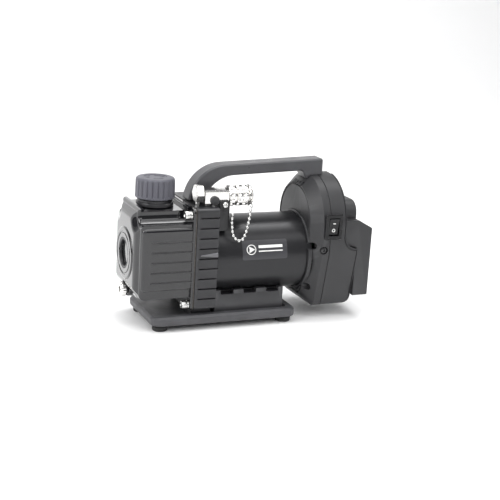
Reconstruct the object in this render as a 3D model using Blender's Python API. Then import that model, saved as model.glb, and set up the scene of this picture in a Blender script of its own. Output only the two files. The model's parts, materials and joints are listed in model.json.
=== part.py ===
"""A palm-size cordless rotary-vane vacuum pump, as an assembly of separate solids.

Metres, +Z up. X runs along the pump: the oil case is at -X and the battery at +X.
The side with the inlet, the chain and the switch faces -Y. The feet stand on Z = 0.
"""

import math

import bmesh
import bpy
from mathutils import Vector

MM = 0.001

# ---------------------------------------------------------------- driving dimensions
GAP = 0.3 * MM  # air between two pieces that touch

# Base, feet and cradle
BASE_FRONT, BASE_BACK = -91.0 * MM, 40.0 * MM
BASE_HALF_WIDTH = 35.6 * MM
BASE_THICKNESS = 7.7 * MM
BASE_CORNER = 9.0 * MM
BASE_CHAMFER = 2.0 * MM
TRAY_RIM = 7.4 * MM
TRAY_CORNER = 3.0 * MM
TRAY_DEPTH = 2.6 * MM
FOOT_RADIUS = 6.5 * MM
FOOT_HEIGHT = 5.1 * MM
FOOT_INSET = 9.5 * MM
CRADLE_HALF_WIDTH = 26.0 * MM
CRADLE_END_GAP = 3.3 * MM
CRADLE_TOP = 30.5 * MM
CRADLE_NOTCH = 11.5 * MM
CRADLE_NOTCH_DEPTH = 3.5 * MM

# Shaft line, and the joint between the oil case and the centre housing
AXIS_Z = 56.7 * MM
JOINT_X = -56.0 * MM
GASKET_THICKNESS = 0.7 * MM
FLANGE_HALF_WIDTH = 34.7 * MM
FLANGE_BOTTOM, FLANGE_TOP = 17.4 * MM, 103.7 * MM
FLANGE_CORNER = 4.0 * MM
CASE_FLANGE = 2.0 * MM
HOUSING_FLANGE = 1.9 * MM

# Oil case
CASE_LENGTH = 45.5 * MM
CASE_HALF_WIDTH = 34.0 * MM
CASE_BOTTOM, CASE_TOP = 25.5 * MM, 104.5 * MM
CASE_WALL = 3.0 * MM
CASE_DOME = 3.5 * MM
CASE_PANEL = 1.6 * MM
CASE_PANEL_LOW, CASE_PANEL_HIGH = 35.0 * MM, 88.6 * MM
CASE_RIB_COUNT = 5
CASE_RIB_PITCH = 8.45 * MM
CASE_RIB_HEIGHT = 2.5 * MM
CASE_TOP_RECESS = 4.0 * MM
BOLT_Y = 29.6 * MM
BOLT_LOW, BOLT_HIGH = 21.6 * MM, 97.8 * MM
BOLT_CHANNEL = 6.0 * MM
BOLT_RADIUS = 2.0 * MM
BOLT_HEAD_RADIUS = 3.4 * MM
BOLT_HEAD = 5.0 * MM
BOLT_WASHER_RADIUS = 3.8 * MM
BOLT_WASHER = 1.0 * MM

# Sight glass and drain
GLASS_Z = 60.8 * MM
GLASS_RADIUS = 12.8 * MM
GLASS_THICKNESS = 3.0 * MM
GLASS_BOSS_RADIUS = 22.5 * MM
GLASS_BOSS_HEIGHT = 1.0 * MM
GLASS_SEAT_DEPTH = 5.7 * MM
DRAIN_Z = 29.5 * MM
DRAIN_HEAD_RADIUS = 6.2 * MM
DRAIN_HEAD = 4.4 * MM
DRAIN_SEAL = 1.0 * MM
DRAIN_STEM_RADIUS = 3.6 * MM

# Oil fill and exhaust cap
CAP_AHEAD = 1.6 * MM  # from the middle of the oil case forward to the middle of the cap
CAP_RADIUS = 16.4 * MM
CAP_HEIGHT = 17.7 * MM
CAP_FLUTES = 22
NECK_RADIUS = 15.6 * MM
NECK_TOP = 106.5 * MM
NECK_BORE = 10.3 * MM

# Centre housing
HOUSING_LENGTH = 19.4 * MM
FIN_COUNT = 9
FIN_FIRST = 26.8 * MM
FIN_PITCH = 8.6 * MM
FIN_SLOT = 1.2 * MM
FIN_DEPTH = 2.0 * MM

# Motor tube
TUBE_RADIUS = 33.0 * MM
TUBE_WALL = 2.5 * MM
TUBE_LENGTH = 87.4 * MM

# Rear housing, two shells that meet on a parting plane
ARCH_HALF_WIDTH = 40.0 * MM
ARCH_TOP = 124.5 * MM
ARCH_WAIST = 60.0 * MM
ARCH_BOTTOM = 11.5 * MM
ARCH_BOTTOM_HALF_WIDTH = 31.0 * MM
REAR_WALL = 2.5 * MM
REAR_FRONT_LENGTH = 15.0 * MM
REAR_UPPER_LENGTH = 15.0 * MM
REAR_LOWER_LENGTH = 27.6 * MM
REAR_CHAMFER_LENGTH = 8.0 * MM
REAR_CHAMFER_INSET = 9.5 * MM
REAR_STEP_Z = 64.5 * MM
REAR_STEP_RADIUS = 12.0 * MM

# Battery
BATTERY_HALF_WIDTH = 36.0 * MM
BATTERY_BOTTOM, BATTERY_TOP = 20.9 * MM, 88.5 * MM
BATTERY_DEPTH = 14.6 * MM
BATTERY_SLOPE_X, BATTERY_SLOPE_Z = 13.2 * MM, 7.2 * MM
BATTERY_WALL = 2.0 * MM
HUMP_TOP = 103.5 * MM
HUMP_HALF_WIDTH = 27.0 * MM
HUMP_LENGTH = 15.6 * MM
RAIL_HALF_WIDTH = 12.0 * MM
RAIL_HEAD = 15.0 * MM
RAIL_TOP = 58.0 * MM
LATCH_HOOK = 1.2 * MM
LATCH_HALF_WIDTH = 8.0 * MM
LATCH_DROP = 7.5 * MM

# Handle
HANDLE_HALF_WIDTH = 8.0 * MM
HANDLE_RADIUS = 33.0 * MM
HANDLE_INNER_RADIUS = 28.4 * MM
HANDLE_INNER_SHIFT = 9.0 * MM
HANDLE_SET_BACK = 0.5 * MM
HANDLE_LEG = 18.0 * MM
HANDLE_TOP_LOW, HANDLE_TOP_HIGH = 134.3 * MM, 137.9 * MM
HANDLE_THICKNESS = 9.6 * MM
HANDLE_PAD_LENGTH = 15.0 * MM

# Inlet fitting and flare cap, on a line of their own beside the handle
INLET_Y, INLET_Z = -18.0 * MM, 110.5 * MM
INLET_BLOCK_LENGTH = 20.9 * MM
INLET_BLOCK_HEIGHT = 12.2 * MM
INLET_HEX_RADIUS = 8.0 * MM
INLET_HEX_LENGTH = 6.4 * MM
INLET_HEX_LIFT = 2.6 * MM
INLET_BLOCK_WIDTH = 14.0 * MM
INLET_STEM_RADIUS = 3.4 * MM
NIPPLE_RADIUS = 6.0 * MM
NIPPLE_BORE = 3.0 * MM
NIPPLE_LENGTH = 12.5 * MM
FLARE_CAP_RADIUS = 8.7 * MM
FLARE_CAP_LENGTH = 21.4 * MM
CHAIN_RING_AT = 18.2 * MM
CHAIN_RING_WIDTH = 1.2 * MM
BRACKET_WIDTH, BRACKET_DEPTH = 8.6 * MM, 13.0 * MM
BRACKET_DROP = 6.8 * MM  # how far it reaches below the top of the motor tube

# Rocker switch, on the near side across the parting line
SWITCH_PAST_PARTING = 2.05 * MM
SWITCH_Z = 85.2 * MM
SWITCH_BEZEL = (16.0 * MM, 22.0 * MM)
SWITCH_BODY = (13.0 * MM, 18.6 * MM)
ROCKER = (9.0 * MM, 14.2 * MM)
SWITCH_DEPTH = 13.0 * MM

# Pump works and motor
SHAFT_RADIUS = 4.0 * MM
ROTOR_RADIUS = 14.7 * MM
BORE_RADIUS = 17.0 * MM
CYLINDER_RADIUS = 24.5 * MM
CYLINDER_LENGTH = 24.0 * MM
END_PLATE = 4.0 * MM
VANE_THICKNESS = 2.6 * MM
VANE_HEIGHT = 7.6 * MM
BEARING_RADIUS = 11.0 * MM
BEARING_WIDTH = 7.0 * MM
STATOR_LENGTH = 40.0 * MM
STATOR_BORE = 18.8 * MM
FAN_RADIUS = 27.0 * MM
FAN_BLADES = 9

# ---------------------------------------------------------------- places worked out
GASKET_FRONT = JOINT_X - GASKET_THICKNESS / 2
GASKET_BACK = JOINT_X + GASKET_THICKNESS / 2
CASE_BACK = GASKET_FRONT - GAP
CASE_FRONT = CASE_BACK - CASE_LENGTH
GLASS_BOSS_FRONT = CASE_FRONT - CASE_DOME - GLASS_BOSS_HEIGHT
CAP_X = CASE_FRONT + CASE_LENGTH / 2 - CAP_AHEAD
DRAIN_FACE = CASE_FRONT - 1.0 * MM
DRAIN_FRONT = DRAIN_FACE - 2 * GAP - DRAIN_SEAL - DRAIN_HEAD
HOUSING_FRONT = GASKET_BACK + GAP
HOUSING_BACK = HOUSING_FRONT + HOUSING_LENGTH
TUBE_FRONT = HOUSING_BACK + GAP
TUBE_BACK = TUBE_FRONT + TUBE_LENGTH
REAR_FRONT = TUBE_BACK - REAR_WALL
PARTING_X = REAR_FRONT + REAR_FRONT_LENGTH
REAR_UPPER_BACK = PARTING_X + REAR_UPPER_LENGTH
REAR_LOWER_BACK = PARTING_X + REAR_LOWER_LENGTH
BATTERY_FRONT = REAR_UPPER_BACK + GAP
BATTERY_LOW_FRONT = REAR_LOWER_BACK + GAP
BATTERY_BACK = BATTERY_LOW_FRONT + BATTERY_DEPTH
BASE_TOP = FOOT_HEIGHT + GAP + BASE_THICKNESS
TRAY_FLOOR = BASE_TOP - TRAY_DEPTH
CASE_RECESS_FLOOR = CASE_TOP - CASE_TOP_RECESS
CASE_ROOF = CASE_RECESS_FLOOR - CASE_WALL
ARCH_CENTRE_Z = ARCH_TOP - ARCH_HALF_WIDTH
INLET_BLOCK_BACK = HOUSING_BACK + 11.0 * MM
INLET_BLOCK_FRONT = INLET_BLOCK_BACK - INLET_BLOCK_LENGTH
INLET_BLOCK_LOW = INLET_Z - INLET_BLOCK_HEIGHT / 2
FLARE_CAP_FRONT = INLET_BLOCK_BACK + GAP
SWITCH_X = PARTING_X + SWITCH_PAST_PARTING
SWITCH_Y = -ARCH_HALF_WIDTH
PUMP_BACK = HOUSING_FRONT - GAP
CYLINDER_FRONT = PUMP_BACK - CYLINDER_LENGTH
CYLINDER_OFFSET = BORE_RADIUS - ROTOR_RADIUS - GAP
STATOR_FRONT = TUBE_FRONT + 20.0 * MM
BELL_FRONT = TUBE_BACK - 12.0 * MM

# The whole pump stands with its origin under the middle of its length.
ORIGIN_X = (DRAIN_FRONT + BATTERY_BACK) / 2


def clear_scene():
    for old in list(bpy.data.objects):
        bpy.data.objects.remove(old, do_unlink=True)


clear_scene()
PUMP = bpy.data.objects.new("pump", None)
bpy.context.scene.collection.objects.link(PUMP)
PUMP.location.x = -ORIGIN_X


# ---------------------------------------------------------------- materials
def paint(name, colour, roughness, metallic=0.0):
    material = bpy.data.materials.new(name)
    material.use_nodes = True
    shader = material.node_tree.nodes["Principled BSDF"]
    shader.inputs["Base Color"].default_value = (*colour, 1.0)
    shader.inputs["Roughness"].default_value = roughness
    shader.inputs["Metallic"].default_value = metallic
    return material


GLOSS_BLACK = paint("gloss_black_enamel", (0.012, 0.012, 0.014), 0.18)
SATIN_BLACK = paint("satin_black_casting", (0.018, 0.018, 0.020), 0.38)
ANODISED = paint("black_anodised_tube", (0.022, 0.022, 0.025), 0.32, 0.6)
MATTE_PLASTIC = paint("matte_black_plastic", (0.026, 0.026, 0.029), 0.55)
RUBBER = paint("black_rubber", (0.015, 0.015, 0.015), 0.8)
NICKEL = paint("nickel_plated_brass", (0.80, 0.79, 0.76), 0.16, 1.0)
STEEL = paint("bright_steel", (0.62, 0.62, 0.62), 0.25, 1.0)
ALUMINIUM = paint("cast_aluminium", (0.55, 0.56, 0.57), 0.42, 1.0)
COPPER = paint("wound_copper", (0.72, 0.38, 0.20), 0.35, 1.0)
CARBON = paint("carbon_vane", (0.05, 0.05, 0.055), 0.5)
GLASS = paint("sight_glass", (0.04, 0.045, 0.05), 0.05)
PAPER = paint("gasket_fibre", (0.10, 0.09, 0.08), 0.8)
BOARD = paint("circuit_board", (0.02, 0.16, 0.07), 0.45)
CELL = paint("battery_cell", (0.10, 0.28, 0.45), 0.4)


# ---------------------------------------------------------------- shape makers
def finish(name, bm, material, at):
    bmesh.ops.recalc_face_normals(bm, faces=bm.faces)
    mesh = bpy.data.meshes.new(name)
    bm.to_mesh(mesh)
    bm.free()
    mesh.materials.append(material)
    mesh.shade_smooth()
    mesh.set_sharp_from_angle(angle=math.radians(35))
    piece = bpy.data.objects.new(name, mesh)
    piece.location = at
    piece.parent = PUMP
    bpy.context.scene.collection.objects.link(piece)
    return piece


def place(axis, u, v, along):
    """A point from its outline coordinates (u, v) and its place along the axis."""
    return {"X": (along, u, v), "Y": (u, along, v), "Z": (u, v, along)}[axis]


def loft(name, axis, sections, material, at=(0, 0, 0)):
    """A closed solid through sections, each (place along the axis, outline)."""
    bm = bmesh.new()
    rings = [[bm.verts.new(place(axis, u, v, along)) for u, v in outline] for along, outline in sections]
    count = len(rings[0])
    for low, high in zip(rings, rings[1:]):
        for i in range(count):
            j = (i + 1) % count
            bm.faces.new((low[i], low[j], high[j], high[i]))
    bm.faces.new(rings[0])
    bm.faces.new(rings[-1])
    return finish(name, bm, material, at)


def prism(name, axis, outline, low, high, material, at=(0, 0, 0)):
    return loft(name, axis, [(low, outline), (high, outline)], material, at)


def box(name, low, high, material, at=(0, 0, 0)):
    outline = [(low[0], low[1]), (high[0], low[1]), (high[0], high[1]), (low[0], high[1])]
    return prism(name, "Z", outline, low[2], high[2], material, at)


def turned(name, axis, profile, at, material, segments=32):
    """A solid of revolution. The profile is (radius, place along the axis); it closes on itself
    as a ring, or starts and ends with radius 0."""
    bm = bmesh.new()
    rings = []
    for radius, along in profile:
        if radius == 0:
            rings.append([bm.verts.new(place(axis, 0, 0, along))])
            continue
        angles = [2 * math.pi * i / segments for i in range(segments)]
        rings.append(
            [bm.verts.new(place(axis, radius * math.cos(a), radius * math.sin(a), along)) for a in angles]
        )
    hollow = profile[0][0] > 0
    pairs = list(zip(rings, rings[1:])) + ([(rings[-1], rings[0])] if hollow else [])
    for low, high in pairs:
        for i in range(segments):
            j = (i + 1) % segments
            corners = [low[i % len(low)], low[j % len(low)], high[j % len(high)], high[i % len(high)]]
            corners = list(dict.fromkeys(corners))
            if len(corners) > 2:
                bm.faces.new(corners)
    return finish(name, bm, material, at)


def disc(name, axis, radius, low, high, at, material, segments=32):
    return turned(name, axis, [(0, low), (radius, low), (radius, high), (0, high)], at, material, segments)


def ring(name, axis, outer, inner, low, high, at, material, segments=32):
    profile = [(inner, low), (outer, low), (outer, high), (inner, high)]
    return turned(name, axis, profile, at, material, segments)


# Pieces with so many round cuts that the exact solver leaves open edges on them
CROWDED = {"centre_housing", "cooling_fan", "motor_end_bell", "oil_cap", "oil_case", "rear_housing_front"}


def helper(tool):
    tool.hide_render = True
    tool.display_type = "WIRE"
    return tool


def combine(piece, operation, tools):
    for tool in tools:
        modifier = piece.modifiers.new(tool.name, "BOOLEAN")
        modifier.operation = operation
        modifier.object = helper(tool)
        modifier.solver = "MANIFOLD" if piece.name in CROWDED else "EXACT"
    return piece


def cut(piece, *tools):
    return combine(piece, "DIFFERENCE", tools)


def weld(piece, *tools):
    return combine(piece, "UNION", tools)


def soften(piece, width, segments=2, angle=40):
    """Rounds the sharp edges, before any Boolean that is added later."""
    bevel = piece.modifiers.new("edges", "BEVEL")
    bevel.width = width
    bevel.segments = segments
    bevel.limit_method = "ANGLE"
    bevel.angle_limit = math.radians(angle)
    bevel.use_clamp_overlap = True
    return piece


# ---------------------------------------------------------------- outlines
def arc(centre, radius, start, end, steps):
    """Points on an arc, from start to end degrees, both ends included."""
    angles = [math.radians(start + (end - start) * i / steps) for i in range(steps + 1)]
    return [(centre[0] + radius * math.cos(a), centre[1] + radius * math.sin(a)) for a in angles]


def rounded(left, right, low, high, corner, steps=4):
    """A rectangle with round corners, from its four sides."""
    corners = [(right - corner, high - corner, 0), (left + corner, high - corner, 90)]
    corners += [(left + corner, low + corner, 180), (right - corner, low + corner, 270)]
    points = []
    for x, y, start in corners:
        points += arc((x, y), corner, start, start + 90, steps)
    return points


def polygon(radius, sides, turn=0.0):
    angles = [math.radians(turn + 360 * i / sides) for i in range(sides)]
    return [(radius * math.cos(a), radius * math.sin(a)) for a in angles]


def fluted(radius, depth, flutes):
    """A round outline with flutes: two points on each crest and one in each valley."""
    points = []
    for i in range(flutes):
        for share, r in ((0.10, radius), (0.55, radius), (0.82, radius - depth)):
            a = 2 * math.pi * (i + share) / flutes
            points.append((r * math.cos(a), r * math.sin(a)))
    return points


def case_outline(inset, top=CASE_TOP):
    """The oil case across X: a box with a channel along each corner for its bolt."""
    side, low, high = CASE_HALF_WIDTH - inset, CASE_BOTTOM + inset, top - inset
    radius = BOLT_CHANNEL + inset
    steps = 4

    def channel(centre_z, end_z, up):
        """From the side face to the top face (up 1) or the bottom one (up -1), around the bolt."""
        start = -math.acos((side - BOLT_Y) / radius)
        end = -math.pi - math.asin(up * (end_z - centre_z) / radius)
        angles = [start + (end - start) * i / steps for i in range(steps + 1)]
        return [(BOLT_Y + radius * math.cos(a), centre_z + up * radius * math.sin(a)) for a in angles]

    top = channel(BOLT_HIGH, high, 1)
    bottom = channel(BOLT_LOW, low, -1)
    right = bottom[::-1] + top
    return right + [(-y, z) for y, z in reversed(right)]


def arch_outline(inset, steps=18):
    """The rear housing across X: a half round on sides that draw in below the waist."""
    half, low = ARCH_HALF_WIDTH - inset, ARCH_BOTTOM + inset
    foot = ARCH_BOTTOM_HALF_WIDTH - inset
    corner = 6.0 * MM
    points = arc((0, ARCH_CENTRE_Z), half, 0, 180, steps)
    points.append((-half, ARCH_WAIST))
    left = arc((-foot + corner, low + corner), corner, 190, 270, 3)
    right = [(-y, z) for y, z in reversed(left)]
    return points + left + right + [(half, ARCH_WAIST)]


# ---------------------------------------------------------------- base
def make_base():
    bottom = FOOT_HEIGHT + GAP
    floor = TRAY_FLOOR

    def outline(inset):
        return rounded(
            BASE_FRONT + inset, BASE_BACK - inset, -BASE_HALF_WIDTH + inset, BASE_HALF_WIDTH - inset,
            BASE_CORNER - inset,
        )

    levels = [(bottom, outline(0.8 * MM)), (bottom + 1.5 * MM, outline(0))]
    levels += [(BASE_TOP - BASE_CHAMFER, outline(0)), (BASE_TOP, outline(BASE_CHAMFER))]
    base = loft("base_plate", "Z", levels, SATIN_BLACK)
    tray_outline = rounded(
        BASE_FRONT + TRAY_RIM, BASE_BACK - TRAY_RIM, -BASE_HALF_WIDTH + TRAY_RIM,
        BASE_HALF_WIDTH - TRAY_RIM, TRAY_CORNER,
    )
    cut(base, prism("tray_space", "Z", tray_outline, floor, BASE_TOP + 5 * MM, SATIN_BLACK))
    for index, (x, y) in enumerate(foot_places(), 1):
        radius = FOOT_RADIUS
        profile = [
            (0, 0), (radius - 1.2 * MM, 0), (radius, 1.2 * MM), (radius, FOOT_HEIGHT),
            (0, FOOT_HEIGHT),
        ]
        turned(f"rubber_foot_{index}", "Z", profile, (x, y, 0), RUBBER, 20)


def foot_places():
    half = BASE_HALF_WIDTH - FOOT_INSET
    return [(x, y) for x in (BASE_FRONT + FOOT_INSET, BASE_BACK - FOOT_INSET) for y in (-half, half)]


def make_cradle():
    front = HOUSING_BACK + 2.5 * MM
    back = BASE_BACK - TRAY_RIM - CRADLE_END_GAP
    low = TRAY_FLOOR + GAP
    cradle = box(
        "motor_cradle", (front, -CRADLE_HALF_WIDTH, low), (back, CRADLE_HALF_WIDTH, CRADLE_TOP),
        SATIN_BLACK,
    )
    seat = disc(
        "tube_seat", "X", TUBE_RADIUS + GAP, front - 5 * MM, back + 5 * MM, (0, 0, AXIS_Z),
        SATIN_BLACK, 64,
    )
    notches = []
    spare = (back - front - 3 * CRADLE_NOTCH) / 3
    for i in range(3):
        x = front + spare * 0.55 + i * (CRADLE_NOTCH + spare)
        for side in (-1, 1):
            y = sorted((side * (CRADLE_HALF_WIDTH + 5 * MM), side * (CRADLE_HALF_WIDTH - 9 * MM)))
            low_corner = (x, y[0], CRADLE_TOP - CRADLE_NOTCH_DEPTH)
            notches.append(
                box(
                    f"notch_{i}_{side}", low_corner, (x + CRADLE_NOTCH, y[1], CRADLE_TOP + 5 * MM),
                    SATIN_BLACK,
                )
            )
    cut(cradle, seat, *notches)


# ---------------------------------------------------------------- oil case
def flange_outline(inset=0.0):
    return rounded(
        -FLANGE_HALF_WIDTH + inset, FLANGE_HALF_WIDTH - inset,
        FLANGE_BOTTOM + inset, FLANGE_TOP - inset, FLANGE_CORNER,
    )


def bolt_places():
    return [(y, z) for y in (-BOLT_Y, BOLT_Y) for z in (BOLT_LOW, BOLT_HIGH)]


def bolt_bores(name, front, back):
    radius = BOLT_RADIUS + GAP
    return [
        disc(f"{name}_{i}", "X", radius, front, back, (0, y, z), STEEL, 10)
        for i, (y, z) in enumerate(bolt_places())
    ]


def cavity_outline():
    """The hollow of the oil case, inside its walls, its channels and the floor of its top recess."""
    inset = CASE_PANEL + CASE_WALL
    return case_outline(inset, CASE_ROOF + inset)


def make_oil_case():
    front, flange_front = CASE_FRONT, CASE_BACK - CASE_FLANGE
    body = [(flange_front - MM, case_outline(CASE_PANEL)), (front + 4 * MM, case_outline(CASE_PANEL))]
    body += [
        (front + 1.5 * MM, case_outline(CASE_PANEL + 0.8 * MM)),
        (front, case_outline(CASE_PANEL + 2.6 * MM)),
    ]
    body += [
        (front - CASE_DOME * 0.6, case_outline(CASE_PANEL + 6 * MM)),
        (front - CASE_DOME, case_outline(CASE_PANEL + 10 * MM)),
    ]
    case = loft("oil_case", "X", [(flange_front + MM, case_outline(CASE_PANEL))] + body, GLOSS_BLACK)
    flange = prism("case_flange", "X", flange_outline(), flange_front, CASE_BACK, GLOSS_BLACK)
    panels = []
    for side in (-1, 1):
        y = sorted((side * CASE_HALF_WIDTH, side * (CASE_HALF_WIDTH - CASE_WALL - CASE_PANEL / 2)))
        low_corner = (front + 3.2 * MM, y[0], CASE_PANEL_LOW)
        panel = box(
            f"side_panel_{side}", low_corner, (flange_front + MM, y[1], CASE_PANEL_HIGH),
            GLOSS_BLACK,
        )
        panels.append(soften(panel, 1.3 * MM, 3))
    ribs = [make_case_rib(side, i, front, flange_front) for side in (-1, 1) for i in range(CASE_RIB_COUNT)]
    boss = turned("glass_boss", "X", [
        (0, 12 * MM), (GLASS_BOSS_RADIUS, 12 * MM), (GLASS_BOSS_RADIUS, 0),
        (GLASS_BOSS_RADIUS - 1.2 * MM, -GLASS_BOSS_HEIGHT), (0, -GLASS_BOSS_HEIGHT),
    ], (front - CASE_DOME, 0, GLASS_Z), GLOSS_BLACK, 40)
    drain_boss = disc(
        "drain_boss", "X", DRAIN_HEAD_RADIUS + 2 * MM, DRAIN_FACE, front + 8 * MM,
        (0, 0, DRAIN_Z + 2 * MM), GLOSS_BLACK, 20,
    )
    weld(case, flange, *panels, *ribs, boss, drain_boss)
    hollow = prism("case_hollow", "X", cavity_outline(), front + CASE_WALL, CASE_BACK + 5 * MM, GLOSS_BLACK)
    half = CASE_HALF_WIDTH - CASE_PANEL - 7.5 * MM
    recess = prism(
        "top_recess", "Z", rounded(front + 4.5 * MM, flange_front - 1.5 * MM, -half, half, 3 * MM),
        CASE_RECESS_FLOOR, CASE_TOP + 5 * MM, GLOSS_BLACK,
    )
    neck_seat = disc(
        "neck_seat", "Z", NECK_BORE + 1.7 * MM + GAP, CASE_ROOF - 5 * MM, CASE_TOP, (CAP_X, 0, 0),
        GLOSS_BLACK, 24,
    )
    collar_seat = disc(
        "neck_collar_seat", "Z", NECK_RADIUS + GAP, CASE_RECESS_FLOOR + GAP / 2, CASE_TOP + 6 * MM,
        (CAP_X, 0, 0), GLOSS_BLACK, 28,
    )
    outer = GLASS_RADIUS + GAP
    glass_seat = disc(
        "glass_seat", "X", outer, GLASS_BOSS_FRONT - MM, GLASS_BOSS_FRONT + GLASS_SEAT_DEPTH,
        (0, 0, GLASS_Z), GLOSS_BLACK, 36,
    )
    window = disc(
        "glass_window", "X", outer - 2.4 * MM, GLASS_BOSS_FRONT, front + 10 * MM, (0, 0, GLASS_Z),
        GLOSS_BLACK, 24,
    )
    drain_bore = disc(
        "drain_bore", "X", DRAIN_STEM_RADIUS + GAP, front - 10 * MM, front + 10 * MM,
        (0, 0, DRAIN_Z), GLOSS_BLACK, 20,
    )
    spot_face = disc(
        "drain_spot_face", "X", DRAIN_HEAD_RADIUS + 1.2 * MM, front - 12 * MM, DRAIN_FACE,
        (0, 0, DRAIN_Z), GLOSS_BLACK, 24,
    )
    cut(case, hollow, recess, neck_seat, collar_seat, glass_seat, window, drain_bore, spot_face)
    cut(case, *bolt_bores("case_bore", flange_front - MM, CASE_BACK + MM))


def make_case_rib(side, index, front, flange_front):
    """A low rib on the side panel, with a round front end."""
    z = CASE_PANEL_LOW + 7.6 * MM + index * CASE_RIB_PITCH
    half = CASE_RIB_HEIGHT / 2
    x_front, x_back = front + 9.5 * MM, flange_front + MM
    outline = [(x_back, z - half), (x_back, z + half)] + arc((x_front, z), half, 90, 270, 4)
    y = sorted((side * (CASE_HALF_WIDTH + 0.9 * MM), side * (CASE_HALF_WIDTH - 2 * MM)))
    return prism(f"case_rib_{side}_{index}", "Y", outline, y[0], y[1], GLOSS_BLACK)


def make_case_fasteners():
    gasket = prism("case_gasket", "X", flange_outline(0.4 * MM), GASKET_FRONT, GASKET_BACK, PAPER)
    window = prism("gasket_window", "X", cavity_outline(), GASKET_FRONT - MM, GASKET_BACK + MM, PAPER)
    cut(gasket, window, *bolt_bores("gasket_bore", GASKET_FRONT - MM, GASKET_BACK + MM))
    seat = CASE_BACK - CASE_FLANGE - GAP
    for i, (y, z) in enumerate(bolt_places(), 1):
        socket = 1.6 * MM
        head = BOLT_HEAD_RADIUS
        tip = HOUSING_FRONT + HOUSING_FLANGE + 6 * MM
        washer = seat - BOLT_WASHER
        face, floor = washer - BOLT_HEAD, washer - BOLT_HEAD + 2.4 * MM
        profile = [
            (0, floor), (socket, floor), (socket, face), (head - 0.5 * MM, face),
            (head, face + 0.5 * MM), (head, washer), (BOLT_WASHER_RADIUS, washer),
            (BOLT_WASHER_RADIUS, seat), (BOLT_RADIUS, seat), (BOLT_RADIUS, tip), (0, tip),
        ]
        turned(f"case_bolt_{i}", "X", profile, (0, y, z), STEEL, 12)


def make_sight_glass():
    seat = GLASS_BOSS_FRONT + GLASS_SEAT_DEPTH
    at = (0, 0, GLASS_Z)
    glass_back = seat - GAP
    disc("sight_glass", "X", GLASS_RADIUS, glass_back - GLASS_THICKNESS, glass_back, at, GLASS, 28)
    bezel_back = glass_back - GLASS_THICKNESS - GAP
    inner, outer = GLASS_RADIUS - 2.0 * MM, GLASS_RADIUS
    bezel = [
        (inner, bezel_back), (outer, bezel_back), (outer, GLASS_BOSS_FRONT + 0.4 * MM),
        (outer - 0.4 * MM, GLASS_BOSS_FRONT), (inner + 0.8 * MM, GLASS_BOSS_FRONT),
    ]
    turned("glass_retaining_ring", "X", bezel, at, SATIN_BLACK, 24)


def make_drain_plug():
    at = (DRAIN_FACE, 0, DRAIN_Z)
    ring(
        "drain_seal", "X", DRAIN_HEAD_RADIUS - 0.6 * MM, DRAIN_STEM_RADIUS + GAP, -GAP - DRAIN_SEAL,
        -GAP, at, RUBBER, 24,
    )
    back = -DRAIN_SEAL - 2 * GAP
    plug = loft("drain_plug", "X", [
        (back, fluted(DRAIN_HEAD_RADIUS, 0.5 * MM, 12)),
        (back - DRAIN_HEAD + 1.2 * MM, fluted(DRAIN_HEAD_RADIUS, 0.5 * MM, 12)),
        (back - DRAIN_HEAD, fluted(DRAIN_HEAD_RADIUS - 1.2 * MM, 0.4 * MM, 12)),
    ], NICKEL, at)
    stem = disc("drain_stem", "X", DRAIN_STEM_RADIUS, back - MM, 6.0 * MM, at, NICKEL, 20)
    socket = prism(
        "drain_socket", "X", polygon(2.9 * MM, 6), back - DRAIN_HEAD - MM,
        back - DRAIN_HEAD + 3.5 * MM, NICKEL, at,
    )
    cut(weld(plug, stem), socket)


def make_filler():
    """The neck in the case roof, the exhaust filter under it, and the cap that screws in."""
    floor = CASE_RECESS_FLOOR
    collar = floor + GAP
    neck = [
        (NECK_BORE, CASE_ROOF - 1.5 * MM), (NECK_BORE + 1.7 * MM, CASE_ROOF - 1.5 * MM),
        (NECK_BORE + 1.7 * MM, collar), (NECK_RADIUS, collar), (NECK_RADIUS, NECK_TOP - 2.2 * MM),
        (NECK_RADIUS - 1.0 * MM, NECK_TOP - 1.2 * MM),
        (NECK_RADIUS - 1.0 * MM, NECK_TOP), (NECK_BORE, NECK_TOP),
    ]
    turned("filler_neck", "Z", neck, (CAP_X, 0, 0), SATIN_BLACK, 32)
    at = (CAP_X, 0, NECK_TOP + GAP)
    seal = 1.4 * MM
    ring("oil_cap_seal", "Z", NECK_RADIUS - 3.0 * MM, NECK_BORE + GAP, 0, seal, at, RUBBER, 24)
    skirt, top = 0.5 * MM, CAP_HEIGHT
    outer = fluted(CAP_RADIUS, 0.6 * MM, CAP_FLUTES)
    cap = loft("oil_cap", "Z", [
        (skirt, fluted(CAP_RADIUS + 0.2 * MM, 0.6 * MM, CAP_FLUTES)),
        (top - 2.0 * MM, outer),
        (top - 0.8 * MM, fluted(CAP_RADIUS - 0.5 * MM, 0.3 * MM, CAP_FLUTES)),
        (top, fluted(CAP_RADIUS - 1.8 * MM, 0.05 * MM, CAP_FLUTES)),
    ], MATTE_PLASTIC, at)
    under = disc("cap_under", "Z", NECK_RADIUS - 1.6 * MM, -MM, seal + GAP, at, MATTE_PLASTIC, 28)
    stem = ring(
        "cap_stem", "Z", NECK_BORE - GAP, NECK_BORE - 2.5 * MM, CASE_ROOF + 1.5 * MM - at[2], 5 * MM,
        at, MATTE_PLASTIC, 24,
    )
    vent = disc("cap_vent", "Z", NECK_BORE - 3.5 * MM, -20 * MM, top - 4 * MM, at, MATTE_PLASTIC, 20)
    cut(weld(cut(cap, under), stem), vent)
    filter_top = CASE_ROOF + 1.5 * MM - GAP
    ring(
        "exhaust_filter", "Z", NECK_BORE - GAP, 4 * MM, CASE_ROOF - 8.5 * MM, filter_top,
        (CAP_X, 0, 0), PAPER, 24,
    )


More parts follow.
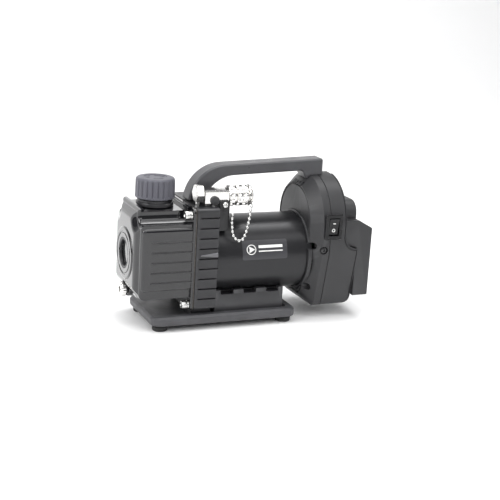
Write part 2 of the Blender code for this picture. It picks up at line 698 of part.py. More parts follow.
# ---------------------------------------------------------------- centre housing
def make_centre_housing():
    front, back = HOUSING_FRONT, HOUSING_BACK
    half = FLANGE_HALF_WIDTH - 0.4 * MM
    block = rounded(-half, half, FLANGE_BOTTOM + 0.3 * MM, FLANGE_TOP - 0.3 * MM, 2.5 * MM)
    housing = prism("centre_housing", "X", block, front + HOUSING_FLANGE - MM, back, SATIN_BLACK)
    flange = prism("housing_flange", "X", flange_outline(), front, front + HOUSING_FLANGE, SATIN_BLACK)
    foot_low = TRAY_FLOOR + GAP
    pedestal = box(
        "pedestal", (front + HOUSING_FLANGE - MM, -CRADLE_HALF_WIDTH, foot_low),
        (back - 1.5 * MM, CRADLE_HALF_WIDTH, FLANGE_BOTTOM + 5 * MM), SATIN_BLACK,
    )
    weld(housing, flange, pedestal)
    slots = []
    for i in range(FIN_COUNT):
        z = FIN_FIRST + i * FIN_PITCH
        for side in (-1, 1):
            y = sorted((side * (half - FIN_DEPTH), side * (half + 5 * MM)))
            slots.append(
                box(
                    f"fin_slot_{i}_{side}",
                    (front + HOUSING_FLANGE + 1.2 * MM, y[0], z - FIN_SLOT / 2),
                    (back + MM, y[1], z + FIN_SLOT / 2), SATIN_BLACK,
                )
            )
    at = (0, 0, AXIS_Z)
    seal_bore = disc(
        "seal_bore", "X", BEARING_RADIUS - 2 * MM + GAP, front - MM, back + MM, at, SATIN_BLACK, 32,
    )
    bearing_bore = disc(
        "bearing_bore", "X", BEARING_RADIUS + GAP, back - BEARING_WIDTH - 2 * GAP, back + MM, at,
        SATIN_BLACK, 32,
    )
    stems = [
        disc(
            f"stem_bore_{i}", "Z", r + GAP, FLANGE_TOP - 9 * MM, FLANGE_TOP + MM, (x, INLET_Y, 0),
            SATIN_BLACK, 20,
        )
        for i, (x, r) in enumerate(stem_places())
    ]
    cut(housing, *slots, seal_bore, bearing_bore, *stems)
    cut(housing, *bolt_bores("housing_bore", front - MM, front + HOUSING_FLANGE + 7 * MM))


# ---------------------------------------------------------------- motor tube
def make_tube():
    ring(
        "motor_tube", "X", TUBE_RADIUS, TUBE_RADIUS - TUBE_WALL, TUBE_FRONT, TUBE_BACK,
        (0, 0, AXIS_Z), ANODISED, 56,
    )


# ---------------------------------------------------------------- rear housing
def shell_sections():
    """The front shell from its parting plane to its face, each with an inset."""
    return [
        (PARTING_X - GAP / 2, 0), (REAR_FRONT + REAR_CHAMFER_LENGTH, 0),
        (REAR_FRONT - MM, REAR_CHAMFER_INSET - 1.2 * MM), (REAR_FRONT - MM, REAR_CHAMFER_INSET),
        (REAR_FRONT, REAR_CHAMFER_INSET + 0.4 * MM),
    ]


def switch_cutter(name):
    half_x, half_z = (size / 2 + GAP for size in SWITCH_BODY)
    low = (SWITCH_X - half_x, SWITCH_Y - 5 * MM, SWITCH_Z - half_z)
    return box(name, low, (SWITCH_X + half_x, SWITCH_Y + SWITCH_DEPTH, SWITCH_Z + half_z), MATTE_PLASTIC)


def long_screw_places():
    """(Y, Z) of the four screws along X that hold the two shells together."""
    high, low = ARCH_HALF_WIDTH - 6.4 * MM, ARCH_BOTTOM_HALF_WIDTH - 4.0 * MM
    return [
        (-high, ARCH_WAIST + 7.5 * MM), (high, ARCH_WAIST + 7.5 * MM), (-low, ARCH_BOTTOM + 18 * MM),
        (low, ARCH_BOTTOM + 18 * MM),
    ]


def make_front_shell():
    sections = [(x, arch_outline(inset)) for x, inset in shell_sections()]
    shell = loft("rear_housing_front", "X", sections, MATTE_PLASTIC)
    hollow_front = REAR_FRONT + REAR_WALL
    hollow = loft("front_shell_hollow", "X", [
        (PARTING_X + 5 * MM, arch_outline(REAR_WALL)),
        (REAR_FRONT + REAR_CHAMFER_LENGTH + 0.6 * MM, arch_outline(REAR_WALL)),
        (hollow_front, arch_outline(REAR_CHAMFER_INSET + REAR_WALL)),
    ], MATTE_PLASTIC)
    at = (0, 0, AXIS_Z)
    collar = ring(
        "tube_collar", "X", TUBE_RADIUS + 2.4 * MM, TUBE_RADIUS - MM, REAR_FRONT - 2.4 * MM,
        REAR_FRONT + MM, at, MATTE_PLASTIC, 48,
    )
    bore = disc(
        "tube_bore", "X", TUBE_RADIUS + GAP, REAR_FRONT - 10 * MM, hollow_front + 10 * MM, at,
        MATTE_PLASTIC, 48,
    )
    vents = [
        box(
            f"vent_slit_{i}", (REAR_FRONT - 10 * MM, y - 0.9 * MM, ARCH_TOP - 11.5 * MM),
            (hollow_front + 5 * MM, y + 0.9 * MM, ARCH_TOP - 6.5 * MM), MATTE_PLASTIC,
        )
        for i, y in enumerate((-8 * MM, -4 * MM, 0, 4 * MM, 8 * MM))
    ]
    pockets, posts, bores = [], [], []
    for i, (y, z) in enumerate(long_screw_places()):
        floor = REAR_FRONT + REAR_CHAMFER_LENGTH - MM
        posts.append(
            disc(
                f"screw_post_{i}", "X", 5.6 * MM, REAR_FRONT + 3 * MM, PARTING_X - GAP / 2,
                (0, y, z), MATTE_PLASTIC, 12,
            )
        )
        pockets.append(
            disc(
                f"screw_pocket_{i}", "X", 3.6 * MM, REAR_FRONT - 10 * MM, floor, (0, y, z),
                MATTE_PLASTIC, 14,
            )
        )
        bores.append(
            disc(
                f"screw_bore_{i}", "X", 1.5 * MM + GAP, floor - MM, PARTING_X + MM, (0, y, z),
                MATTE_PLASTIC, 8,
            )
        )
    edge = prism(
        "post_trim", "X", [(-80 * MM, 0), (80 * MM, 0), (80 * MM, 0.16), (-80 * MM, 0.16)],
        REAR_FRONT - 20 * MM, PARTING_X + 20 * MM, MATTE_PLASTIC,
    )
    outside = loft(
        "front_shell_outside", "X", [(x, arch_outline(inset)) for x, inset in shell_sections()],
        MATTE_PLASTIC,
    )
    cut(edge, outside)
    cut(shell, hollow)
    weld(shell, *posts, collar)
    cut(
        shell, edge_keep_collar(edge, at), bore, *vents, *pockets, *bores,
        switch_cutter("front_switch_hole"), side_screw_cutter("front_side_screw"),
    )


def edge_keep_collar(edge, at):
    """What the posts may not fill: everything outside the shell, apart from the tube's collar."""
    keep = disc(
        "collar_keep", "X", TUBE_RADIUS + 3 * MM, REAR_FRONT - 30 * MM, REAR_FRONT + MM, at,
        MATTE_PLASTIC, 48,
    )
    return cut(edge, keep)


def side_screw_cutter(name):
    return disc(
        name, "Y", 3.0 * MM, -ARCH_HALF_WIDTH - 5 * MM, -ARCH_HALF_WIDTH + 2.2 * MM,
        (PARTING_X - 5.2 * MM, 0, REAR_STEP_Z), MATTE_PLASTIC, 20,
    )


def step_outline(clearance):
    """Along Y: what the battery takes from the back of the rear shell, and a clearance."""
    upper, lower = REAR_UPPER_BACK - clearance, REAR_LOWER_BACK - clearance
    far, top = BATTERY_BACK + 40 * MM, ARCH_TOP + 40 * MM
    shelf = REAR_STEP_Z - clearance
    radius = REAR_STEP_RADIUS
    scoop = arc((upper + radius, shelf + radius), radius, 180, 270, 6)
    low_corner = arc((lower - 8 * MM, ARCH_BOTTOM + 8 * MM), 8 * MM, 0, -90, 5)
    points = [(far, top), (upper, top)] + scoop + [(lower, shelf)] + low_corner
    return points + [(lower - 8 * MM, 0), (far, 0)]


def make_rear_shell():
    shell = prism(
        "rear_housing_rear", "X", arch_outline(0), PARTING_X + GAP / 2, REAR_LOWER_BACK + 10 * MM,
        MATTE_PLASTIC,
    )
    cut(shell, prism("battery_space", "Y", step_outline(0), -0.1, 0.1, MATTE_PLASTIC))
    hollow = prism(
        "rear_shell_hollow", "X", arch_outline(REAR_WALL), PARTING_X - 5 * MM,
        REAR_LOWER_BACK + 10 * MM, MATTE_PLASTIC,
    )
    cut(hollow, prism("hollow_stop", "Y", step_outline(REAR_WALL), -0.12, 0.12, MATTE_PLASTIC))
    cut(shell, hollow, switch_cutter("rear_switch_hole"))
    posts, bores = [], []
    for i, (y, z) in enumerate(long_screw_places()):
        posts.append(
            disc(
                f"rear_post_{i}", "X", 4.6 * MM, PARTING_X + GAP / 2, PARTING_X + 11 * MM, (0, y, z),
                MATTE_PLASTIC, 12,
            )
        )
        bores.append(
            disc(
                f"rear_bore_{i}", "X", 1.5 * MM + GAP, PARTING_X - MM, PARTING_X + 10 * MM,
                (0, y, z), MATTE_PLASTIC, 8,
            )
        )
    weld(shell, *posts)
    back = REAR_LOWER_BACK
    rail = prism("rail", "Z", rail_outline(back - MM, 0), ARCH_BOTTOM + 16 * MM, RAIL_TOP, MATTE_PLASTIC)
    weld(shell, rail)
    hook_half = LATCH_HALF_WIDTH * 0.6 + GAP
    latch = box(
        "latch_groove",
        (REAR_UPPER_BACK - LATCH_HOOK - GAP, -hook_half, HUMP_TOP - LATCH_DROP - 3 * MM),
        (REAR_UPPER_BACK + MM, hook_half, ARCH_TOP + MM), MATTE_PLASTIC,
    )
    blade = box(
        "terminal_slot", (back - 6 * MM, -6.3 * MM, RAIL_TOP + 0.2 * MM),
        (back + 6 * MM, 6.3 * MM, RAIL_TOP + 4.2 * MM), MATTE_PLASTIC,
    )
    cut(shell, *bores, latch, blade, side_screw_cutter("rear_side_screw"))


def rail_outline(root, clearance):
    """The T of the rail, or its slot in the battery, across Z. The root is inside the wall."""
    neck = RAIL_HALF_WIDTH + clearance
    head = RAIL_HEAD + clearance
    start = REAR_LOWER_BACK + 2.2 * MM - clearance
    end = REAR_LOWER_BACK + 4.4 * MM + clearance
    return [
        (root, -neck), (start, -neck), (start, -head), (end, -head), (end, head), (start, head),
        (start, neck), (root, neck),
    ]


def make_housing_screws():
    floor = REAR_FRONT + REAR_CHAMFER_LENGTH - MM - GAP
    for i, (y, z) in enumerate(long_screw_places(), 1):
        head = [
            (0, floor - 1.4 * MM), (1.3 * MM, floor - 1.4 * MM), (1.3 * MM, floor - 2.6 * MM),
            (2.9 * MM, floor - 2.2 * MM),
        ]
        shank = [
            (2.9 * MM, floor), (1.5 * MM, floor), (1.5 * MM, PARTING_X + 9 * MM),
            (0, PARTING_X + 9 * MM),
        ]
        turned(f"housing_screw_{i}", "X", head + shank, (0, y, z), STEEL, 12)
    floor = -ARCH_HALF_WIDTH + 2.2 * MM - GAP
    head = [
        (0, floor), (2.6 * MM, floor), (2.6 * MM, floor - 1.2 * MM), (1.2 * MM, floor - 1.6 * MM),
        (1.2 * MM, floor - 0.6 * MM), (0, floor - 0.6 * MM),
    ]
    turned("side_screw", "Y", head, (PARTING_X - 5.2 * MM, 0, REAR_STEP_Z), STEEL, 16)


# ---------------------------------------------------------------- switch
def make_switch():
    half_x, half_z = SWITCH_BEZEL[0] / 2, SWITCH_BEZEL[1] / 2
    at = (SWITCH_X, SWITCH_Y - 0.6 * MM, SWITCH_Z)
    bezel = prism(
        "switch_frame", "Y", rounded(-half_x, half_x, -half_z, half_z, 1.2 * MM, 2), -1.2 * MM,
        0.6 * MM - GAP, MATTE_PLASTIC, at,
    )
    body_x, body_z = SWITCH_BODY[0] / 2, SWITCH_BODY[1] / 2
    body = box(
        "switch_body_solid", (-body_x, -0.6 * MM, -body_z), (body_x, SWITCH_DEPTH - 2 * MM, body_z),
        MATTE_PLASTIC, at,
    )
    rocker_x, rocker_z = ROCKER[0] / 2 + GAP, ROCKER[1] / 2 + 2 * GAP
    well = box(
        "rocker_well", (-rocker_x, -5 * MM, -rocker_z), (rocker_x, 7 * MM, rocker_z), MATTE_PLASTIC,
        at,
    )
    cut(weld(bezel, body), well)
    rocker_x, rocker_z = ROCKER[0] / 2, ROCKER[1] / 2
    high, low = -1.8 * MM, 0.3 * MM  # how far the two ends stand from the bezel's plane
    outline = [
        (-4.2 * MM, 5.2 * MM), (4.2 * MM, 5.2 * MM), (rocker_z, high + 2.2 * MM), (rocker_z, high),
        (0, -0.3 * MM), (-rocker_z, low), (-rocker_z, low + 2.4 * MM),
    ]
    yz = [(v, u) for u, v in outline]
    prism("switch_rocker", "X", yz, -rocker_x, rocker_x, MATTE_PLASTIC, at)


# ---------------------------------------------------------------- battery
def battery_outline(inset):
    """Along Y: the L that hooks over the back of the rear housing, and a slope at its top."""
    front, low_front, back = BATTERY_FRONT + inset, BATTERY_LOW_FRONT + inset, BATTERY_BACK - inset
    top, bottom = BATTERY_TOP - inset, BATTERY_BOTTOM + inset
    shelf = REAR_STEP_Z + GAP + inset
    radius = REAR_STEP_RADIUS
    scoop = arc((front + radius, shelf + radius), radius, 270, 180, 6)
    slope = [(back - BATTERY_SLOPE_X, top), (back, top - BATTERY_SLOPE_Z)]
    return [(low_front, bottom), (low_front, shelf)] + scoop + [(front, top)] + slope + [(back, bottom)]


def make_battery():
    half = BATTERY_HALF_WIDTH
    shell = prism("battery_shell", "Y", battery_outline(0), -half, half, MATTE_PLASTIC)
    soften(shell, 1.4 * MM, 2)
    hump = prism(
        "battery_hump", "X", hump_outline(0), BATTERY_FRONT, BATTERY_FRONT + HUMP_LENGTH,
        MATTE_PLASTIC,
    )
    soften(hump, 1.2 * MM, 2)
    weld(shell, hump)
    wall = BATTERY_WALL
    cell_half = half - wall
    low = BATTERY_BOTTOM - 10 * MM
    bay_low = BATTERY_TOP - wall - (BATTERY_BACK - BATTERY_SLOPE_X - BATTERY_FRONT - wall)
    cells = box(
        "cell_bay", (BATTERY_FRONT + wall, -cell_half, bay_low),
        (BATTERY_BACK - BATTERY_SLOPE_X, cell_half, BATTERY_TOP - wall), MATTE_PLASTIC,
    )
    vent_low, vent_high = BATTERY_TOP - wall - 8 * MM, BATTERY_TOP - wall - 5 * MM
    vent = box(
        "pack_vent", (BATTERY_FRONT - 5 * MM, -12 * MM, vent_low),
        (BATTERY_FRONT + 2 * wall, 12 * MM, vent_high), MATTE_PLASTIC,
    )
    slot = prism(
        "rail_slot", "Z", rail_outline(BATTERY_LOW_FRONT - 5 * MM, GAP), low, RAIL_TOP + 5 * MM,
        MATTE_PLASTIC,
    )
    latch_z, half = HUMP_TOP - LATCH_DROP, LATCH_HALF_WIDTH + GAP
    latch_bay = box(
        "latch_bay", (BATTERY_FRONT - 5 * MM, -half, latch_z - 2 * MM - GAP),
        (BATTERY_FRONT + HUMP_LENGTH + 5 * MM, half, latch_z + 2 * MM + GAP), MATTE_PLASTIC,
    )
    cut(shell, cells, vent, slot, latch_bay)


def hump_outline(inset):
    half, top = HUMP_HALF_WIDTH - inset, HUMP_TOP - inset
    corner = 11 * MM
    low = BATTERY_TOP - 4 * MM
    right = arc((half - corner, top - corner), corner, 0, 90, 5)
    return [(half, low)] + right + [(-y, z) for y, z in reversed(right)] + [(-half, low)]


def make_battery_insides():
    wall, gap = BATTERY_WALL, GAP
    radius = (BATTERY_BACK - BATTERY_SLOPE_X - BATTERY_FRONT - wall) / 2 - gap
    at = (BATTERY_FRONT + wall + gap + radius, 0, BATTERY_TOP - wall - gap - radius)
    length = BATTERY_HALF_WIDTH - wall - 2 * gap
    disc("battery_cell_1", "Y", radius, -length, -gap, at, CELL, 20)
    disc("battery_cell_2", "Y", radius, gap, length, at, CELL, 20)
    at = (BATTERY_FRONT, 0, HUMP_TOP - LATCH_DROP)
    half, hook_half = LATCH_HALF_WIDTH, LATCH_HALF_WIDTH * 0.6
    latch = box(
        "battery_latch", (0, -half, -2 * MM), (HUMP_LENGTH + 3.2 * MM, half, 2 * MM), SATIN_BLACK,
        at,
    )
    hook = box(
        "latch_hook", (-GAP - LATCH_HOOK, -hook_half, -1.7 * MM), (2 * MM, hook_half, 1.7 * MM),
        SATIN_BLACK, at,
    )
    weld(latch, hook)


# ---------------------------------------------------------------- handle
def handle_outline():
    """Along Y: an arc up from the centre housing, a straight grip, and a pad on the rear housing."""
    low_end, end = PARTING_X - 12 * MM, PARTING_X + 4.4 * MM
    leg = HOUSING_FRONT + HANDLE_SET_BACK
    outer_centre = (leg + HANDLE_RADIUS, HANDLE_TOP_LOW - HANDLE_RADIUS)
    foot_z = FLANGE_TOP + GAP
    slope = (HANDLE_TOP_HIGH - HANDLE_TOP_LOW) / (end - outer_centre[0])
    tilt = math.degrees(math.atan(slope))
    foot_turn = math.degrees(math.asin((foot_z - outer_centre[1]) / HANDLE_RADIUS))
    outer = arc(outer_centre, HANDLE_RADIUS, 180 - foot_turn, 90 + tilt, 9)
    inner_top = HANDLE_TOP_LOW - HANDLE_THICKNESS + 0.5 * MM
    inner_centre = (outer_centre[0] + HANDLE_INNER_SHIFT, inner_top - HANDLE_INNER_RADIUS)
    inner = arc(inner_centre, HANDLE_INNER_RADIUS, 90 + tilt, 150, 7)
    under = HANDLE_TOP_HIGH - HANDLE_THICKNESS
    pad = end - HANDLE_PAD_LENGTH
    right = [(end - 1.5 * MM, HANDLE_TOP_HIGH), (end, HANDLE_TOP_HIGH - 1.5 * MM), (end, ARCH_TOP - 5 * MM)]
    right += [(pad, ARCH_TOP - 5 * MM), (low_end - 3 * MM, under - 0.6 * MM)]
    return outer + right + inner + [(leg + HANDLE_LEG, foot_z)]


def make_handle():
    handle = prism("handle", "Y", handle_outline(), -HANDLE_HALF_WIDTH, HANDLE_HALF_WIDTH, SATIN_BLACK)
    soften(handle, 1.8 * MM, 2, 50)
    clear = loft("housing_clearance", "X", [
        (PARTING_X + 20 * MM, arch_outline(-GAP)),
        (REAR_FRONT + REAR_CHAMFER_LENGTH - GAP, arch_outline(-GAP)),
        (REAR_FRONT - MM - GAP, arch_outline(REAR_CHAMFER_INSET - 1.2 * MM - GAP)),
    ], SATIN_BLACK)
    cut(handle, clear)


# ---------------------------------------------------------------- inlet
def stem_places():
    """(X, radius) of the two stems that stand in the centre housing's roof."""
    middle = (HOUSING_FRONT + HOUSING_BACK) / 2
    return [(middle + 5.0 * MM, INLET_STEM_RADIUS), (middle - 4.4 * MM, 2.0 * MM)]


def make_inlet():
    at = (0, INLET_Y, INLET_Z)
    hex_at = (0, INLET_Y, INLET_Z + INLET_HEX_LIFT)
    front, back = INLET_BLOCK_FRONT, INLET_BLOCK_BACK
    half_w, half_h = INLET_BLOCK_WIDTH / 2, INLET_BLOCK_HEIGHT / 2
    block = prism(
        "inlet_fitting", "X", rounded(-half_w, half_w, -half_h, half_h, 1.4 * MM, 2), front, back,
        NICKEL, at,
    )
    low = FLANGE_TOP - 7 * MM - INLET_Z
    (nut_x, stem_radius), (stud_x, stud_radius) = stem_places()
    stem = disc("inlet_stem", "Z", stem_radius, low, 0, (nut_x, INLET_Y, INLET_Z), NICKEL, 20)
    nut = prism(
        "inlet_nut", "Z", polygon(INLET_STEM_RADIUS + MM, 6, 30), FLANGE_TOP + GAP - INLET_Z,
        -half_h + MM, NICKEL, (nut_x, INLET_Y, INLET_Z),
    )
    nipple = turned("nipple", "X", [
        (0, back - MM), (NIPPLE_RADIUS, back - MM), (NIPPLE_RADIUS, back + NIPPLE_LENGTH - 3 * MM),
        (NIPPLE_RADIUS - 2.2 * MM, back + NIPPLE_LENGTH), (0, back + NIPPLE_LENGTH),
    ], at, NICKEL, 24)
    knob = disc(
        "port_boss", "Y", 3.3 * MM, -half_w - 1.6 * MM, 0,
        (INLET_BLOCK_BACK - 12.5 * MM, INLET_Y, INLET_Z - 2.4 * MM), NICKEL, 20,
    )
    weld(block, stem, nut, nipple, knob)
    bore = disc("inlet_bore", "X", NIPPLE_BORE, front + 5 * MM, back + NIPPLE_LENGTH + MM, at, NICKEL, 16)
    riser = disc(
        "inlet_riser", "Z", NIPPLE_BORE - 0.4 * MM, low - MM, 0, (nut_x, INLET_Y, INLET_Z), NICKEL,
        16,
    )
    plug_seat = disc("plug_seat", "X", 4.0 * MM + GAP, front - MM, front + 4.5 * MM, at, NICKEL, 20)
    cut(block, bore, riser, plug_seat)
    plug_back = front - GAP
    end = prism(
        "inlet_end_fitting", "X", polygon(INLET_HEX_RADIUS, 6), plug_back - INLET_HEX_LENGTH,
        plug_back, NICKEL, hex_at,
    )
    soften(end, 0.8 * MM, 1, 50)
    spigot = disc("end_spigot", "X", 4.0 * MM, plug_back - MM, front + 4.2 * MM, at, NICKEL, 20)
    stud = disc("end_stud", "Z", stud_radius, low, 0, (stud_x, INLET_Y, INLET_Z), NICKEL, 16)
    weld(end, spigot, stud)


def make_bracket():
    """The black block that steadies the inlet on the motor tube, and its screw."""
    right = INLET_BLOCK_BACK - 0.2 * MM
    left = right - BRACKET_WIDTH
    front = INLET_Y - INLET_BLOCK_WIDTH / 2 - GAP
    top = INLET_Z - 2.5 * MM
    near = front - 3.0 * MM
    bottom = AXIS_Z + TUBE_RADIUS - BRACKET_DROP
    block = box("inlet_bracket", (left, near, bottom), (right, near + BRACKET_DEPTH, top), SATIN_BLACK)
    tube_clear = disc(
        "bracket_saddle", "X", TUBE_RADIUS + GAP, left - MM, right + MM, (0, 0, AXIS_Z), SATIN_BLACK,
        64,
    )
    wide = INLET_BLOCK_WIDTH + 4 * MM
    fitting_clear = box(
        "fitting_clear", (left - MM, front, INLET_BLOCK_LOW - GAP),
        (right + MM, front + wide, top + MM), SATIN_BLACK,
    )
    screw_z = top - 3.0 * MM
    screw_x = (left + right) / 2
    bore = disc(
        "bracket_bore", "Y", 1.5 * MM + GAP, near - MM, near + 10 * MM, (screw_x, 0, screw_z),
        SATIN_BLACK, 12,
    )
    cut(block, tube_clear, fitting_clear, bore)
    head = [
        (0, near - GAP - 2.0 * MM), (1.6 * MM, near - GAP - 1.8 * MM),
        (2.5 * MM, near - GAP - 0.9 * MM), (2.5 * MM, near - GAP),
    ]
    turned(
        "bracket_screw", "Y",
        head + [(1.5 * MM, near - GAP), (1.5 * MM, near + 2.5 * MM), (0, near + 2.5 * MM)],
        (screw_x, 0, screw_z), STEEL, 16,
    )


def make_flare_cap():
    at = (FLARE_CAP_FRONT, INLET_Y, INLET_Z)
    radius, length = FLARE_CAP_RADIUS, FLARE_CAP_LENGTH
    flutes = 14
    knurl, groove = fluted(radius, 0.7 * MM, flutes), fluted(radius - 1.6 * MM, 0, flutes)
    ring_low, ring_high = CHAIN_RING_AT - 0.6 * MM, CHAIN_RING_AT + CHAIN_RING_WIDTH + 0.6 * MM
    bands = [(0, knurl), (5.4 * MM, knurl), (5.9 * MM, groove), (6.9 * MM, groove), (7.4 * MM, knurl)]
    bands += [(ring_low - 0.6 * MM, knurl), (ring_low, groove), (ring_high, groove)]
    bands += [
        (ring_high + 0.4 * MM, fluted(radius - 0.6 * MM, 0, flutes)),
        (length, fluted(radius - 0.9 * MM, 0, flutes)),
    ]
    cap = loft("flare_cap", "X", bands, NICKEL, at)
    bore = disc("cap_thread_bore", "X", NIPPLE_RADIUS + GAP, -MM, NIPPLE_LENGTH + 1.5 * MM, at, NICKEL, 24)
    cut(cap, bore)
    inner = radius - 1.6 * MM + GAP
    low, high = CHAIN_RING_AT, CHAIN_RING_AT + CHAIN_RING_WIDTH
    ring_piece = ring("chain_ring", "X", inner + 1.7 * MM, inner, low, high, at, NICKEL, 24)
    tab_outline = rounded(-inner - 5.0 * MM, -inner - 0.8 * MM, -5.6 * MM, -1.6 * MM, 1.2 * MM, 2)
    tab = prism("ring_tab", "X", tab_outline, low, high, NICKEL, at)
    weld(ring_piece, tab)


def smooth_route(points, per_span):
    """A Catmull-Rom curve through the route's points."""
    ends = [points[0] * 2 - points[1]] + points + [points[-1] * 2 - points[-2]]
    route = []
    for p0, p1, p2, p3 in zip(ends, ends[1:], ends[2:], ends[3:]):
        for i in range(per_span):
            t = i / per_span
            bend = (2 * p0 - 5 * p1 + 4 * p2 - p3) * t ** 2 + (3 * p1 - p0 - 3 * p2 + p3) * t ** 3
            route.append(0.5 * (2 * p1 + (p2 - p0) * t + bend))
    return route + [points[-1]]


CHAIN_RADIUS = 1.2 * MM
CHAIN_POINTS = [
    (-23.6, -30.8, 97.4), (-24.0, -31.2, 93.0), (-23.8, -31.8, 86.5), (-22.6, -32.2, 80.0),
    (-19.2, -32.3, 75.8), (-15.0, -32.2, 75.2), (-12.0, -31.8, 79.0), (-10.0, -31.2, 85.2),
    (-8.2, -30.4, 92.2), (-6.9, -29.4, 98.6), (-6.0, -29.4, 103.4),
]


def make_chain():
    curve = bpy.data.curves.new("cap_chain", "CURVE")
    curve.dimensions = "3D"
    curve.bevel_depth = CHAIN_RADIUS
    curve.bevel_resolution = 2
    curve.use_fill_caps = True
    route = smooth_route([Vector(point) * MM for point in CHAIN_POINTS], 3)
    spline = curve.splines.new("POLY")
    spline.points.add(len(route) - 1)
    for point, where in zip(spline.points, route):
        point.co = (*where, 1)
    curve.materials.append(STEEL)
    chain = bpy.data.objects.new("cap_chain", curve)
    chain.parent = PUMP
    bpy.context.scene.collection.objects.link(chain)


# ---------------------------------------------------------------- pump works
def make_pump_works():
    at = (0, 0, AXIS_Z)
    bore_at = (0, 0, AXIS_Z + CYLINDER_OFFSET)
    front, back = CYLINDER_FRONT, PUMP_BACK
    cylinder = disc("pump_cylinder", "X", CYLINDER_RADIUS, front, back, bore_at, ALUMINIUM, 28)
    pad_top = AXIS_Z + CYLINDER_OFFSET + CYLINDER_RADIUS + 1.5 * MM
    pad = box(
        "exhaust_pad", (front + 4 * MM, -9 * MM, AXIS_Z + 20 * MM), (back - 4 * MM, 9 * MM, pad_top),
        ALUMINIUM,
    )
    bore = disc("cylinder_bore", "X", BORE_RADIUS, front - MM, back + MM, bore_at, ALUMINIUM, 28)
    middle = (front + back) / 2
    port = disc("exhaust_port", "Z", 2.2 * MM, AXIS_Z + 5 * MM, pad_top + MM, (middle, 0, 0), ALUMINIUM, 12)
    cut(weld(cylinder, pad), bore, port)
    reed_low = pad_top + GAP
    box(
        "exhaust_reed", (middle - 8 * MM, -5 * MM, reed_low),
        (middle + 6 * MM, 5 * MM, reed_low + 0.6 * MM), STEEL,
    )
    plate_back = front - GAP
    plate = disc(
        "pump_end_plate", "X", CYLINDER_RADIUS, plate_back - END_PLATE, plate_back, bore_at,
        ALUMINIUM, 28,
    )
    cut(
        plate,
        disc(
            "end_plate_bore", "X", SHAFT_RADIUS + GAP, plate_back - END_PLATE - MM, plate_back + MM,
            at, ALUMINIUM, 20,
        ),
    )
    rotor = disc("pump_rotor", "X", ROTOR_RADIUS, front + GAP, back - GAP, at, STEEL, 28)
    shaft_bore = disc("rotor_shaft_bore", "X", SHAFT_RADIUS + GAP, front - MM, back + MM, at, STEEL, 20)
    half = VANE_THICKNESS / 2 + GAP
    slot_floor = ROTOR_RADIUS - GAP - VANE_HEIGHT - GAP
    slots = [
        box(f"vane_slot_{side}", (front - MM, min(side * slot_floor, side * 2 * ROTOR_RADIUS), AXIS_Z - half),
            (back + MM, max(side * slot_floor, side * 2 * ROTOR_RADIUS), AXIS_Z + half), STEEL)
        for side in (-1, 1)
    ]
    cut(rotor, shaft_bore, *slots)
    for name, side in (("vane_near", -1), ("vane_far", 1)):
        inner, outer = sorted((side * (ROTOR_RADIUS - GAP - VANE_HEIGHT), side * (ROTOR_RADIUS - GAP)))
        box(
            name, (front + 2 * GAP, inner, -VANE_THICKNESS / 2),
            (back - 2 * GAP, outer, VANE_THICKNESS / 2), CARBON, at,
        )


